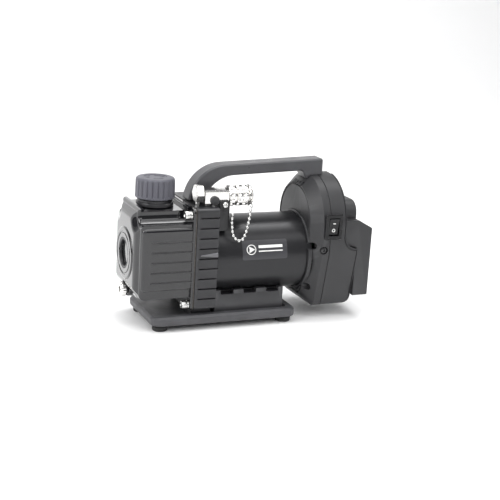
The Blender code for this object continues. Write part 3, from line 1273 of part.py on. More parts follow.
def make_motor():
    at = (0, 0, AXIS_Z)
    shaft_front = CYLINDER_FRONT - GAP - END_PLATE + GAP
    shaft_back = TUBE_BACK + 8 * MM
    disc("drive_shaft", "X", SHAFT_RADIUS, shaft_front, shaft_back, at, STEEL, 20)
    seal_back = HOUSING_BACK - BEARING_WIDTH - 3 * GAP
    ring(
        "shaft_seal", "X", BEARING_RADIUS - 2 * MM, SHAFT_RADIUS + GAP, seal_back - 5 * MM,
        seal_back, at, RUBBER, 24,
    )
    bearing_front = HOUSING_BACK - BEARING_WIDTH - GAP
    ring(
        "front_bearing", "X", BEARING_RADIUS, SHAFT_RADIUS + GAP, bearing_front,
        bearing_front + BEARING_WIDTH, at, STEEL, 24,
    )
    inner = TUBE_RADIUS - TUBE_WALL - GAP
    stator = ring(
        "motor_stator", "X", inner, STATOR_BORE, STATOR_FRONT, STATOR_FRONT + STATOR_LENGTH, at,
        STEEL, 28,
    )
    slots = [
        box(
            f"stator_slot_{i}", (STATOR_FRONT - MM, -2.2 * MM, 0),
            (STATOR_FRONT + STATOR_LENGTH + MM, 2.2 * MM, inner - 4 * MM), STEEL, at,
        )
        for i in range(6)
    ]
    for i, slot in enumerate(slots):
        slot.rotation_euler.x = math.radians(60 * i)
    cut(stator, *slots)
    rotor_radius = STATOR_BORE - 2 * GAP
    ring(
        "motor_rotor", "X", rotor_radius, SHAFT_RADIUS + GAP, STATOR_FRONT + MM,
        STATOR_FRONT + STATOR_LENGTH - MM, at, STEEL, 24,
    )
    bell = disc("motor_end_bell", "X", inner, BELL_FRONT, BELL_FRONT + 4 * MM, at, ALUMINIUM, 28)
    hub = disc(
        "bell_hub", "X", BEARING_RADIUS + 2.5 * MM, BELL_FRONT,
        BELL_FRONT + BEARING_WIDTH + 1.5 * MM, at, ALUMINIUM, 20,
    )
    seat = disc(
        "bell_seat", "X", BEARING_RADIUS + GAP, BELL_FRONT + 1.5 * MM - GAP, BELL_FRONT + 20 * MM,
        at, ALUMINIUM, 20,
    )
    bore = disc(
        "bell_bore", "X", SHAFT_RADIUS + 1.5 * MM, BELL_FRONT - MM, BELL_FRONT + 20 * MM, at,
        ALUMINIUM, 12,
    )
    vents = []
    for i in range(6):
        a = math.radians(60 * i + 30)
        r = (BEARING_RADIUS + 2.5 * MM + inner) / 2
        where = (0, r * math.cos(a), AXIS_Z + r * math.sin(a))
        vents.append(
            disc(f"bell_vent_{i}", "X", 5.0 * MM, BELL_FRONT - MM, BELL_FRONT + 5 * MM, where, ALUMINIUM, 8)
        )
    cut(weld(bell, hub), seat, bore, *vents)
    ring(
        "rear_bearing", "X", BEARING_RADIUS, SHAFT_RADIUS + GAP, BELL_FRONT + 1.5 * MM,
        BELL_FRONT + 1.5 * MM + BEARING_WIDTH, at, STEEL, 24,
    )


def make_fan():
    at = (0, 0, AXIS_Z)
    front = TUBE_BACK + 1.5 * MM
    fan = disc(
        "cooling_fan", "X", SHAFT_RADIUS + 4 * MM, front - MM, front + 6.5 * MM, at, MATTE_PLASTIC,
        24,
    )
    plate = disc("fan_plate", "X", FAN_RADIUS, front, front + 1.2 * MM, at, MATTE_PLASTIC, 28)
    blades = []
    for i in range(FAN_BLADES):
        blade = box(
            f"fan_blade_{i}", (front + 0.4 * MM, -0.7 * MM, SHAFT_RADIUS + 2 * MM),
            (front + 6 * MM, 0.7 * MM, FAN_RADIUS - MM), MATTE_PLASTIC, at,
        )
        blade.rotation_euler.x = 2 * math.pi * i / FAN_BLADES
        blades.append(blade)
    bore = disc("fan_bore", "X", SHAFT_RADIUS + GAP, front - 5 * MM, front + 20 * MM, at, MATTE_PLASTIC, 20)
    cut(weld(fan, plate, *blades), bore)


def make_control_board():
    x = PARTING_X + 9.0 * MM
    half = ARCH_BOTTOM_HALF_WIDTH - 9 * MM
    board = box(
        "control_board", (x, -half, ARCH_BOTTOM + 8 * MM),
        (x + 1.6 * MM, half, ARCH_CENTRE_Z - 6 * MM), BOARD,
    )
    block = box(
        "board_power_stage", (x + MM, -12 * MM, ARCH_BOTTOM + 14 * MM),
        (x + 7 * MM, 12 * MM, ARCH_BOTTOM + 30 * MM), SATIN_BLACK,
    )
    weld(board, block)
    low = RAIL_TOP + 0.2 * MM + GAP
    front = REAR_LOWER_BACK - 6 * MM + GAP
    body = box(
        "battery_terminals", (front, -6 * MM, low), (REAR_LOWER_BACK - GAP, 6 * MM, low + 3.4 * MM),
        MATTE_PLASTIC,
    )
    blades = [
        box(
            f"terminal_{i}", (front + MM, y - 0.5 * MM, low + 1.2 * MM),
            (REAR_LOWER_BACK + 3.6 * MM, y + 0.5 * MM, low + 2.2 * MM), COPPER,
        )
        for i, y in enumerate((-3.5 * MM, 3.5 * MM))
    ]
    weld(body, *blades)


# ---------------------------------------------------------------- the whole pump
make_base()
make_cradle()
make_oil_case()
make_case_fasteners()
make_sight_glass()
make_drain_plug()
make_filler()
make_centre_housing()
make_tube()
make_front_shell()
make_rear_shell()
make_housing_screws()
make_switch()
make_battery()
make_battery_insides()
make_handle()
make_inlet()
make_bracket()
make_flare_cap()
make_chain()
make_pump_works()
make_motor()
make_fan()
make_control_board()
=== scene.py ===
"""The looks of a palm-size cordless rotary-vane vacuum pump, built around its CAD frame.

Metres, +Z up. The oil case is at -X, the battery at +X, and the inlet's side faces -Y.
"""

import json
import math
from math import cos, pi, radians, sin

import bmesh
import bpy
from mathutils import Matrix, Vector

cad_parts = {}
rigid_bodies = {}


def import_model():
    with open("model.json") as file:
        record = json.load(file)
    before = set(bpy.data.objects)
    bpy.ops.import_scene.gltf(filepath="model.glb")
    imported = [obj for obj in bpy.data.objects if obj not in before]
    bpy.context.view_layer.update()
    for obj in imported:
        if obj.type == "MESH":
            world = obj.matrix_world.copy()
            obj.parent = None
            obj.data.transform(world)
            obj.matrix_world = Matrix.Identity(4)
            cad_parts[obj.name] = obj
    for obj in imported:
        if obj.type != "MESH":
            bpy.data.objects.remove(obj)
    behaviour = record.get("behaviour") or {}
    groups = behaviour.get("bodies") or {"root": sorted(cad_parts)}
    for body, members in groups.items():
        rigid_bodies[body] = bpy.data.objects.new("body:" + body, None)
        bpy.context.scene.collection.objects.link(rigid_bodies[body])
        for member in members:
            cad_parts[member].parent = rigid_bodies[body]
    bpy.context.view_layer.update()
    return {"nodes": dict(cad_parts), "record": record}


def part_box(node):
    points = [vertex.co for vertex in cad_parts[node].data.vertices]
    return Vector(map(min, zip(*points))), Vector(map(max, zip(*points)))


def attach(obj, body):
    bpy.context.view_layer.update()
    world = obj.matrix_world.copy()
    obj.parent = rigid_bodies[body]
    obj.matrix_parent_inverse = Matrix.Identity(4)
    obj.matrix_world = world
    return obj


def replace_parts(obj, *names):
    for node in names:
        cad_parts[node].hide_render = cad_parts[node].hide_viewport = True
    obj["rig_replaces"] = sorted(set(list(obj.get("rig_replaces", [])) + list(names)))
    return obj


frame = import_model()
MM = 0.001
HIDDEN_GAP = 0.3 * MM  # the air that the CAD leaves between two pieces


def link(thing):
    bpy.context.scene.collection.objects.link(thing)


# ---- camera
def make_camera():
    """A short telephoto view from the front left, a little above, with a slight roll."""
    target = Vector((10.2 * MM, 0, 54.5 * MM))
    place = Vector((-370.15 * MM, -861.28 * MM, 309.09 * MM))
    roll = radians(3.4)
    ahead = (target - place).normalized()
    level = ahead.cross(Vector((0, 0, 1))).normalized()
    upright = level.cross(ahead)
    right = level * cos(roll) + upright * sin(roll)
    up = upright * cos(roll) - level * sin(roll)
    turn = Matrix((right, up, -ahead)).transposed().to_4x4()
    turn.translation = place
    lens = bpy.data.cameras.new("camera")
    lens.sensor_width, lens.lens = 36.0, 80.74
    lens.shift_x, lens.shift_y = -0.0026, 0.0054
    lens.clip_start, lens.clip_end = 0.05, 20.0
    camera = bpy.data.objects.new("camera", lens)
    camera.matrix_world = turn
    link(camera)
    bpy.context.scene.camera = camera


make_camera()


# ---- the chain's route
CHAIN_BEAD = 2.8 * MM
CHAIN_PITCH = 3.6 * MM
CHAIN_ROUTE = [
    (-22.4, -30.8, 97.4), (-22.8, -31.2, 93.0), (-22.6, -31.8, 86.5), (-21.4, -32.2, 80.0),
    (-18.0, -32.3, 75.8),
    (-13.8, -32.2, 75.2), (-10.8, -31.8, 79.0), (-8.8, -31.2, 85.2), (-7.0, -30.4, 92.2), (-5.7, -29.4, 98.6),
    (-4.8, -29.4, 103.4),
]


# ---- materials
class Look:
    """A Principled material and short ways to add its grain, wear, painted edge highlights and colour change."""

    def __init__(self, name, colour, roughness, metallic=0.0):
        self.material = bpy.data.materials.new(name)
        self.material.use_nodes = True
        self.nodes = self.material.node_tree.nodes
        self.links = self.material.node_tree.links
        self.shader = self.nodes["Principled BSDF"]
        self.shader.inputs["Base Color"].default_value = (*colour, 1)
        self.shader.inputs["Roughness"].default_value = roughness
        self.shader.inputs["Metallic"].default_value = metallic
        self.colour, self.roughness = colour, roughness
        self.bumps = None
        self.where = self.nodes.new("ShaderNodeTexCoord").outputs["Object"]

    def noise(self, size, detail=3.0, stretch=(1, 1, 1)):
        """Noise whose blotches are about size metres across, squeezed along each axis by stretch."""
        mapping = self.nodes.new("ShaderNodeMapping")
        mapping.inputs["Scale"].default_value = stretch
        self.links.new(self.where, mapping.inputs["Vector"])
        noise = self.nodes.new("ShaderNodeTexNoise")
        noise.inputs["Scale"].default_value = 1 / size
        noise.inputs["Detail"].default_value = detail
        self.links.new(mapping.outputs["Vector"], noise.inputs["Vector"])
        return noise.outputs["Fac"]

    def ranged(self, value, low, high, start=0.3, end=0.7):
        spread = self.nodes.new("ShaderNodeMapRange")
        for socket, number in zip(("From Min", "From Max", "To Min", "To Max"), (start, end, low, high)):
            spread.inputs[socket].default_value = number
        self.links.new(value, spread.inputs["Value"])
        return spread.outputs["Result"]

    def vary_roughness(self, size, amount, stretch=(1, 1, 1)):
        value = self.ranged(self.noise(size, 4, stretch), self.roughness - amount, self.roughness + amount)
        self.links.new(value, self.shader.inputs["Roughness"])
        return self

    def vary_colour(self, size, amount):
        mix = self.nodes.new("ShaderNodeMix")
        mix.data_type = "RGBA"
        mix.inputs[6].default_value = (*(c * (1 - amount) for c in self.colour), 1)
        mix.inputs[7].default_value = (*(min(1, c * (1 + amount)) for c in self.colour), 1)
        self.links.new(self.ranged(self.noise(size, 2), 0, 1), mix.inputs["Factor"])
        self.links.new(mix.outputs[2], self.shader.inputs["Base Color"])
        self.mix = mix
        return self

    def worn_and_highlit_edges(self, colour, strength=0.5):
        """Paler along convex edges: partly the wear of handled paint, partly a painted highlight."""
        points = self.nodes.new("ShaderNodeNewGeometry").outputs["Pointiness"]
        edge = self.ranged(points, 0, strength, 0.53, 0.62)
        mix = self.nodes.new("ShaderNodeMix")
        mix.data_type = "RGBA"
        self.links.new(edge, mix.inputs["Factor"])
        self.links.new(self.mix.outputs[2], mix.inputs[6])
        mix.inputs[7].default_value = (*colour, 1)
        self.links.new(mix.outputs[2], self.shader.inputs["Base Color"])
        return self

    def bump(self, height, strength, distance):
        bump = self.nodes.new("ShaderNodeBump")
        bump.inputs["Strength"].default_value = strength
        bump.inputs["Distance"].default_value = distance
        self.links.new(height, bump.inputs["Height"])
        if self.bumps is not None:
            self.links.new(self.bumps, bump.inputs["Normal"])
        self.bumps = bump.outputs["Normal"]
        self.links.new(self.bumps, self.shader.inputs["Normal"])
        return self

    def grain(self, size, strength, distance, stretch=(1, 1, 1)):
        return self.bump(self.noise(size, 2, stretch), strength, distance)

    def shine(self, level):
        self.shader.inputs["Specular IOR Level"].default_value = level
        return self

    def coat(self, weight, roughness, index=1.5):
        self.shader.inputs["Coat IOR"].default_value = index
        self.shader.inputs["Coat Weight"].default_value = weight
        self.shader.inputs["Coat Roughness"].default_value = roughness
        return self


def enamel():
    look = Look("gloss_black_enamel", (0.005, 0.005, 0.0065), 0.16).shine(0.2)
    # The pale edges are partly wear and partly a painted highlight.
    look.vary_roughness(0.012, 0.05).vary_colour(0.02, 0.15).worn_and_highlit_edges((0.03, 0.03, 0.032), 0.35)
    return look.grain(0.0016, 0.10, 0.00004).coat(1.0, 0.06, 1.55).material


def casting(name="satin_black_casting", colour=(0.017, 0.017, 0.0195), roughness=0.34, shine=0.5):
    look = Look(name, colour, roughness).shine(shine)
    # The pale edges are partly wear and partly a painted highlight.
    look.vary_roughness(0.01, 0.06).vary_colour(0.015, 0.15).worn_and_highlit_edges((0.09, 0.09, 0.095), 0.4)
    return look.grain(0.0006, 0.25, 0.00006).material


def anodised():
    look = Look("black_anodised_tube", (0.02, 0.02, 0.022), 0.3, 0.35)
    look.vary_roughness(0.0008, 0.025, (1, 0.06, 0.06)).vary_colour(0.03, 0.08)
    return look.grain(0.0004, 0.05, 0.00001, (1, 0.04, 0.04)).material


def plastic(name="matte_black_plastic", colour=(0.022, 0.022, 0.024), roughness=0.46, shine=0.5):
    look = Look(name, colour, roughness).shine(shine)
    # The pale edges are partly wear and partly a painted highlight.
    look.vary_roughness(0.02, 0.04).vary_colour(0.03, 0.1).worn_and_highlit_edges((0.06, 0.06, 0.063), 0.3)
    return look.grain(0.00045, 0.35, 0.00006).material


def surface(name, colour, roughness, metallic=0.0, wander=None, tint=None, grain=None, coat=None):
    """A plain material; the last four are what the Look's methods of those kinds take."""
    look = Look(name, colour, roughness, metallic)
    if wander:
        look.vary_roughness(*wander)
    look.vary_colour(*tint)
    if grain:
        look.grain(*grain)
    if coat:
        look.coat(*coat)
    return look.material


SLOT_LOOKS = {
    "gloss_black_enamel": enamel(), "satin_black_casting": casting(), "black_anodised_tube": anodised(),
    "matte_black_plastic": plastic(),
}
for plain in (
    ("black_rubber", (0.018, 0.018, 0.018), 0.75, 0.0, (0.005, 0.08), (0.006, 0.25), (0.0005, 0.4, 0.0001)),
    ("nickel_plated_brass", (0.84, 0.83, 0.81), 0.2, 1.0, (0.002, 0.05), (0.006, 0.05), (0.0012, 0.06, 0.00003)),
    ("bright_steel", (0.66, 0.66, 0.65), 0.22, 1.0, (0.001, 0.07), (0.003, 0.08), (0.0005, 0.08, 0.00003)),
    ("cast_aluminium", (0.55, 0.56, 0.57), 0.42, 1.0, (0.004, 0.08), (0.01, 0.08), (0.0008, 0.3, 0.00006)),
    ("wound_copper", (0.72, 0.38, 0.20), 0.32, 1.0, (0.002, 0.08), (0.004, 0.1)),
    ("carbon_vane", (0.05, 0.05, 0.055), 0.5, 0.0, (0.002, 0.08), (0.004, 0.15), (0.0003, 0.2, 0.00003)),
    ("sight_glass", (0.012, 0.013, 0.014), 0.05, 0.0, None, (0.01, 0.2), None, (1.0, 0.02)),
    ("gasket_fibre", (0.10, 0.09, 0.08), 0.8, 0.0, None, (0.002, 0.3), (0.0006, 0.5, 0.0001)),
    ("circuit_board", (0.02, 0.16, 0.07), 0.4, 0.0, None, (0.006, 0.2), None, (0.3, 0.2)),
    ("battery_cell", (0.10, 0.28, 0.45), 0.35, 0.0, None, (0.01, 0.1), None, (0.4, 0.15)),
):
    SLOT_LOOKS[plain[0]] = surface(*plain)
SWITCH_BLACK = plastic("switch_gloss", (0.005, 0.005, 0.006), 0.25, 0.35)
PATCH = plastic("patch_foil", (0.04, 0.04, 0.045), 0.34)
# A lighter grey copy of the satin casting: a painted highlight, the softbox's reflection on the centre housing's
# slanted fin face.
WEB_PAINTED_HIGHLIGHT = casting("web_painted_highlight", (0.15, 0.15, 0.162), 0.4, 0.5)
GRIP_BLACK = casting("grip_casting", (0.038, 0.038, 0.043), 0.33, 0.65)
BASE_BLACK = casting("base_casting", (0.07, 0.07, 0.075), 0.4, 0.4)
WHITE = surface("white_print", (0.82, 0.82, 0.80), 0.45, tint=(0.003, 0.04))
CAP_PLASTIC = plastic("cap_plastic", (0.105, 0.105, 0.125), 0.42, 0.3)
DARK_STEEL = surface(
    "black_oxide_steel", (0.05, 0.05, 0.052), 0.35, 0.7, (0.001, 0.06), (0.003, 0.15), (0.0005, 0.1, 0.00003)
)
NODE_SLOT = {entry["node"]: entry["material_slot"] for entry in frame["record"]["subparts"]}
NODE_BODY = {node: body for body, nodes in frame["record"]["behaviour"]["bodies"].items() for node in nodes}


# ---- mesh makers
def finish(name, bm, sharp=35):
    bmesh.ops.recalc_face_normals(bm, faces=bm.faces)
    if bm.calc_volume(signed=True) < 0:
        bmesh.ops.reverse_faces(bm, faces=bm.faces)
    mesh = bpy.data.meshes.new(name)
    bm.to_mesh(mesh)
    bm.free()
    mesh.shade_smooth()
    mesh.set_sharp_from_angle(angle=radians(sharp))
    piece = bpy.data.objects.new(name, mesh)
    link(piece)
    return piece


def place(axis, u, v, along):
    return {"X": (along, u, v), "Y": (u, along, v), "Z": (u, v, along)}[axis]


def loft(name, axis, sections, at=(0, 0, 0)):
    """A solid through sections, each (place along the axis, outline)."""
    bm = bmesh.new()
    base = Vector(at)
    rings = [[bm.verts.new(base + Vector(place(axis, u, v, along))) for u, v in line] for along, line in sections]
    count = len(rings[0])
    for low, high in zip(rings, rings[1:]):
        for i in range(count):
            j = (i + 1) % count
            bm.faces.new((low[i], low[j], high[j], high[i]))
    bm.faces.new(rings[0])
    bm.faces.new(rings[-1])
    return finish(name, bm)


def prism(name, axis, outline, low, high, at=(0, 0, 0)):
    return loft(name, axis, [(low, outline), (high, outline)], at)


def block(name, low, high):
    corners = [(low[0], low[1]), (high[0], low[1]), (high[0], high[1]), (low[0], high[1])]
    return prism(name, "Z", corners, low[2], high[2])


def turned(name, axis, profile, at, segments=96):
    """A solid of revolution from (radius, place along the axis); it closes on itself, or has radius 0 ends."""
    bm = bmesh.new()
    base = Vector(at)
    rings = []
    for radius, along in profile:
        if radius == 0:
            rings.append([bm.verts.new(base + Vector(place(axis, 0, 0, along)))])
            continue
        angles = [2 * pi * i / segments for i in range(segments)]
        points = [place(axis, radius * cos(a), radius * sin(a), along) for a in angles]
        rings.append([bm.verts.new(base + Vector(point)) for point in points])
    pairs = list(zip(rings, rings[1:])) + ([(rings[-1], rings[0])] if profile[0][0] > 0 else [])
    for low, high in pairs:
        for i in range(segments):
            j = (i + 1) % segments
            corners = [low[i % len(low)], low[j % len(low)], high[j % len(high)], high[i % len(high)]]
            corners = list(dict.fromkeys(corners))
            if len(corners) > 2:
                bm.faces.new(corners)
    return finish(name, bm)


def disc(name, axis, radius, low, high, at, segments=64):
    return turned(name, axis, [(0, low), (radius, low), (radius, high), (0, high)], at, segments)


def polar(radius, degrees):
    return radius * cos(radians(degrees)), radius * sin(radians(degrees))


def arc(centre, radius, start, end, steps):
    angles = [radians(start + (end - start) * i / steps) for i in range(steps + 1)]
    return [(centre[0] + radius * cos(a), centre[1] + radius * sin(a)) for a in angles]


def rounded(left, right, low, high, corner, steps=8):
    corners = [(right - corner, high - corner, 0), (left + corner, high - corner, 90)]
    corners += [(left + corner, low + corner, 180), (right - corner, low + corner, 270)]
    points = []
    for x, y, start in corners:
        points += arc((x, y), corner, start, start + 90, steps)
    return points


def apply_modifiers(piece):
    graph = bpy.context.evaluated_depsgraph_get()
    mesh = bpy.data.meshes.new_from_object(piece.evaluated_get(graph))
    old = piece.data
    piece.modifiers.clear()
    piece.data = mesh
    bpy.data.meshes.remove(old)
    return piece


def combine(piece, operation, tools):
    for tool in tools:
        modifier = piece.modifiers.new(tool.name, "BOOLEAN")
        modifier.operation, modifier.object, modifier.solver = operation, tool, "EXACT"
    apply_modifiers(piece)
    for tool in tools:
        bpy.data.objects.remove(tool, do_unlink=True)
    return piece


def cut(piece, *tools):
    return combine(piece, "DIFFERENCE", tools)


def weld(piece, *tools):
    return combine(piece, "UNION", tools)


def soften(piece, width, segments=3, angle=30, sharp=35):
    """Rounds the sharp edges, with a smooth shade that keeps flat faces flat."""
    bm = bmesh.new()
    bm.from_mesh(piece.data)
    bmesh.ops.remove_doubles(bm, verts=bm.verts, dist=0.005 * MM)
    bmesh.ops.dissolve_limit(bm, angle_limit=radians(0.4), verts=bm.verts, edges=bm.edges)
    bm.to_mesh(piece.data)
    bm.free()
    bevel = piece.modifiers.new("edges", "BEVEL")
    bevel.width, bevel.segments = width, segments
    bevel.limit_method, bevel.angle_limit = "ANGLE", radians(angle)
    bevel.use_clamp_overlap = True
    bevel.miter_outer = "MITER_ARC"
    apply_modifiers(piece)
    piece.data.shade_smooth()
    piece.data.set_sharp_from_angle(angle=radians(sharp))
    normals = piece.modifiers.new("flat_faces", "WEIGHTED_NORMAL")
    normals.keep_sharp = True
    apply_modifiers(piece)
    return piece


def show(piece, *nodes, body=None, look=None, slot=None):
    """Gives a piece its body and its look, which is the slot's look unless one is given, and hides the CAD nodes
    that it stands for.
    """
    node = nodes[0] if nodes else None
    slot = slot or NODE_SLOT[node]
    piece.data.materials.clear()
    piece.data.materials.append(look or SLOT_LOOKS[slot])
    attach(piece, body or NODE_BODY[node])
    if nodes:
        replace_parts(piece, *nodes)
    return piece


def refined(node, width, segments=3, angle=30, look=None):
    """A copy of a CAD node with rounded edges, which stands for it."""
    piece = bpy.data.objects.new(f"{node}_fine", frame["nodes"][node].data.copy())
    link(piece)
    return show(soften(piece, width, segments, angle), node, look=look)


# ---- places read from the frame
CASE_LOW, CASE_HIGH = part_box("oil_case")
HOUSING_LOW, HOUSING_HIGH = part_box("centre_housing")
TUBE_LOW, TUBE_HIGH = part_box("motor_tube")
FRONT_LOW, FRONT_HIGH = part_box("rear_housing_front")
REAR_LOW, REAR_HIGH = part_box("rear_housing_rear")
CAP_LOW, CAP_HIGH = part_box("oil_cap")
AXIS_Z = (TUBE_LOW.z + TUBE_HIGH.z) / 2
TUBE_RADIUS = (TUBE_HIGH.z - TUBE_LOW.z) / 2


def middle(node):
    low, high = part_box(node)
    return (low + high) / 2


# ---- oil case
CASE_LENGTH = 45.5 * MM
CASE_FLANGE = 2.0 * MM
CASE_HALF = 34.0 * MM
CASE_BOTTOM, CASE_TOP = 25.5 * MM, 104.5 * MM
PANEL_INSET = 1.6 * MM
PANEL_LOW, PANEL_HIGH = 35.0 * MM, 88.6 * MM
BOLT_Y, BOLT_ZS = 29.6 * MM, (21.6 * MM, 97.8 * MM)
CHANNEL = 6.0 * MM
CASE_BACK = CASE_HIGH.x
CASE_FRONT = CASE_BACK - CASE_LENGTH
CASE_DOME = 3.5 * MM
BOSS_HEIGHT = 1.0 * MM
BOSS_FRONT = CASE_FRONT - CASE_DOME - BOSS_HEIGHT
SEAT_DEPTH = 5.7 * MM
DRAIN_FACE = CASE_FRONT - 1.0 * MM
GLASS = middle("sight_glass")
GLASS_RADIUS = 12.8 * MM
DRAIN = middle("drain_plug")
FLANGE_LINES = (-34.7 * MM, 34.7 * MM, 17.4 * MM, 103.7 * MM, 4.0 * MM)


def case_outline(inset, top=CASE_TOP, steps=14):
    """The case across X: a box with a channel along each corner for its bolt."""
    side, low, high = CASE_HALF - inset, CASE_BOTTOM + inset, top - inset
    radius = CHANNEL + inset

    def channel(centre_z, end_z, up):
        start = -math.acos((side - BOLT_Y) / radius)
        end = -pi - math.asin(up * (end_z - centre_z) / radius)
        angles = [start + (end - start) * i / steps for i in range(steps + 1)]
        return [(BOLT_Y + radius * cos(a), centre_z + up * radius * sin(a)) for a in angles]

    right = channel(BOLT_ZS[0], low, -1)[::-1] + channel(BOLT_ZS[1], high, 1)
    return right + [(-y, z) for y, z in reversed(right)]


def dome_sections(front):
    """The front wall of the case, which swells towards its middle."""
    steps = 8
    sections = []
    for i in range(steps + 1):
        a = pi / 2 * i / steps
        inset = PANEL_INSET + 3.2 * MM * (1 - cos(a))
        sections.append((front + 3.2 * MM * (1 - sin(a)), case_outline(inset)))
    for share in (0.25, 0.5, 0.75, 1.0):
        inset = PANEL_INSET + 3.2 * MM + 7.0 * MM * share
        sections.append((front - CASE_DOME * sin(share * pi / 2), case_outline(inset)))
    return sections


def case_rib(side, index, x_back):
    z = PANEL_LOW + 7.6 * MM + index * 8.45 * MM
    half = 0.85 * MM
    x_front = CASE_FRONT + 9.5 * MM
    outline = [(x_back, z - half), (x_back, z + half)] + arc((x_front, z), half, 90, 270, 12)
    y = sorted((side * (CASE_HALF + 0.9 * MM), side * (CASE_HALF - 2 * MM)))
    return soften(prism(f"rib_{side}_{index}", "Y", outline, *y), 0.75 * MM, 4)


def make_oil_case():
    flange_front = CASE_BACK - CASE_FLANGE
    sections = [(flange_front + MM, case_outline(PANEL_INSET))] + dome_sections(CASE_FRONT)
    case = loft("oil_case_fine", "X", sections)
    left, right, low, high, corner = FLANGE_LINES
    flange = prism("flange", "X", rounded(left, right, low, high, corner), flange_front, CASE_BACK)
    panels = []
    for side in (-1, 1):
        y = sorted((side * CASE_HALF, side * (CASE_HALF - 12 * MM)))
        low_corner = (CASE_FRONT + 0.7 * MM, y[0], PANEL_LOW)
        panel = block(f"panel_{side}", low_corner, (flange_front + 4 * MM, y[1], PANEL_HIGH))
        soften(panel, 3.4 * MM, 8)
        cut(panel, block("behind", (flange_front + MM, -50 * MM, 0), (flange_front + 8 * MM, 50 * MM, 150 * MM)))
        panels.append(panel)
    ribs = [case_rib(side, i, flange_front + MM) for side in (-1, 1) for i in range(5)]
    face = (CASE_FRONT - CASE_DOME, 0, GLASS.z)
    boss_radius, depth = 22.5 * MM, BOSS_HEIGHT
    rim = [(boss_radius, 0.5 * MM), (boss_radius - 0.35 * MM, -0.3 * MM)]
    rim += [(boss_radius - 1.2 * MM, -depth + 0.1 * MM), (boss_radius - 1.8 * MM, -depth)]
    floor = -depth + 0.7 * MM
    groove = [(boss_radius - 4.2 * MM, -depth), (boss_radius - 4.7 * MM, floor)]
    groove += [(boss_radius - 5.6 * MM, floor), (boss_radius - 6.1 * MM, -depth)]
    boss = turned("boss", "X", [(0, 8 * MM), (boss_radius, 8 * MM)] + rim + groove + [(0, -depth)], face, 120)
    drain = disc("drain_boss", "X", 8.2 * MM, DRAIN_FACE, CASE_FRONT + 4 * MM, (0, 0, DRAIN.z + 2 * MM), 64)
    weld(case, flange, *panels, *ribs, boss, soften(drain, 0.6 * MM, 3))
    inset = PANEL_INSET + 3 * MM
    roof = CASE_TOP - 7 * MM
    hollow = prism("hollow", "X", case_outline(inset, roof + inset), CASE_FRONT + 3 * MM, CASE_BACK + 5 * MM)
    half = CASE_HALF - PANEL_INSET - 7.5 * MM
    recess_lines = rounded(CASE_FRONT + 4.5 * MM, flange_front - 1.5 * MM, -half, half, 3 * MM)
    recess = prism("recess", "Z", recess_lines, CASE_TOP - 4 * MM, CASE_TOP + 5 * MM)
    cap = middle("oil_cap")
    seat = disc("neck_seat", "Z", 12.3 * MM, roof - 5 * MM, CASE_TOP, (cap.x, 0, 0))
    outer = GLASS_RADIUS + HIDDEN_GAP
    at = (0, 0, GLASS.z)
    glass_seat = disc("glass_seat", "X", outer, BOSS_FRONT - MM, BOSS_FRONT + SEAT_DEPTH, at, 96)
    window = disc("window", "X", outer - 2.4 * MM, BOSS_FRONT, CASE_FRONT + 10 * MM, at, 96)
    bore = disc("drain_bore", "X", 3.9 * MM, CASE_FRONT - 10 * MM, CASE_FRONT + 10 * MM, (0, 0, DRAIN.z), 48)
    spot = disc("spot_face", "X", 7.4 * MM, CASE_FRONT - 12 * MM, DRAIN_FACE, (0, 0, DRAIN.z), 64)
    bolts = [
        disc(f"bolt_bore_{y}_{z}", "X", 2.3 * MM, flange_front - MM, CASE_BACK + MM, (0, y, z), 32)
        for y in (-BOLT_Y, BOLT_Y) for z in BOLT_ZS
    ]
    cut(case, hollow, recess, seat, glass_seat, window, bore, spot, *bolts)
    show(soften(case, 0.45 * MM, 3, 32), "oil_case")


# ---- sight glass, drain plug and bolts
def make_front_fittings():
    glass_low, glass_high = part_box("sight_glass")
    radius = GLASS_RADIUS
    dome = [(0, glass_low.x), (radius * 0.9, glass_low.x), (radius, glass_low.x + 0.4 * MM)]
    dome += [(radius, glass_high.x), (0, glass_high.x)]
    show(turned("sight_glass_fine", "X", dome, (0, 0, GLASS.z)), "sight_glass")
    low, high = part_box("glass_retaining_ring")
    inner = radius - 2 * MM
    front, back = low.x, high.x
    profile = [
        (inner, back), (radius, back), (radius, front + 0.5 * MM), (radius - 0.15 * MM, front + 0.15 * MM),
        (radius - 0.5 * MM, front), (inner + 1.0 * MM, front), (inner + 0.45 * MM, front + 0.2 * MM),
        (inner + 0.15 * MM, front + 0.7 * MM), (inner, front + 1.4 * MM),
    ]
    ring = turned("glass_ring_fine", "X", profile, (0, 0, GLASS.z), 120)
    notches = [
        block(f"notch_{side}", (front - MM, side * 11.6 * MM - 0.8 * MM, GLASS.z - 1.1 * MM),
              (front + 1.0 * MM, side * 11.6 * MM + 1.4 * MM, GLASS.z + 1.1 * MM)) for side in (-1, 1)
    ]
    show(cut(ring, *notches), "glass_retaining_ring")
    refined("drain_plug", 0.3 * MM, 3)
    refined("drain_seal", 0.25 * MM, 3)
    for i in range(1, 5):
        make_bolt(f"case_bolt_{i}")


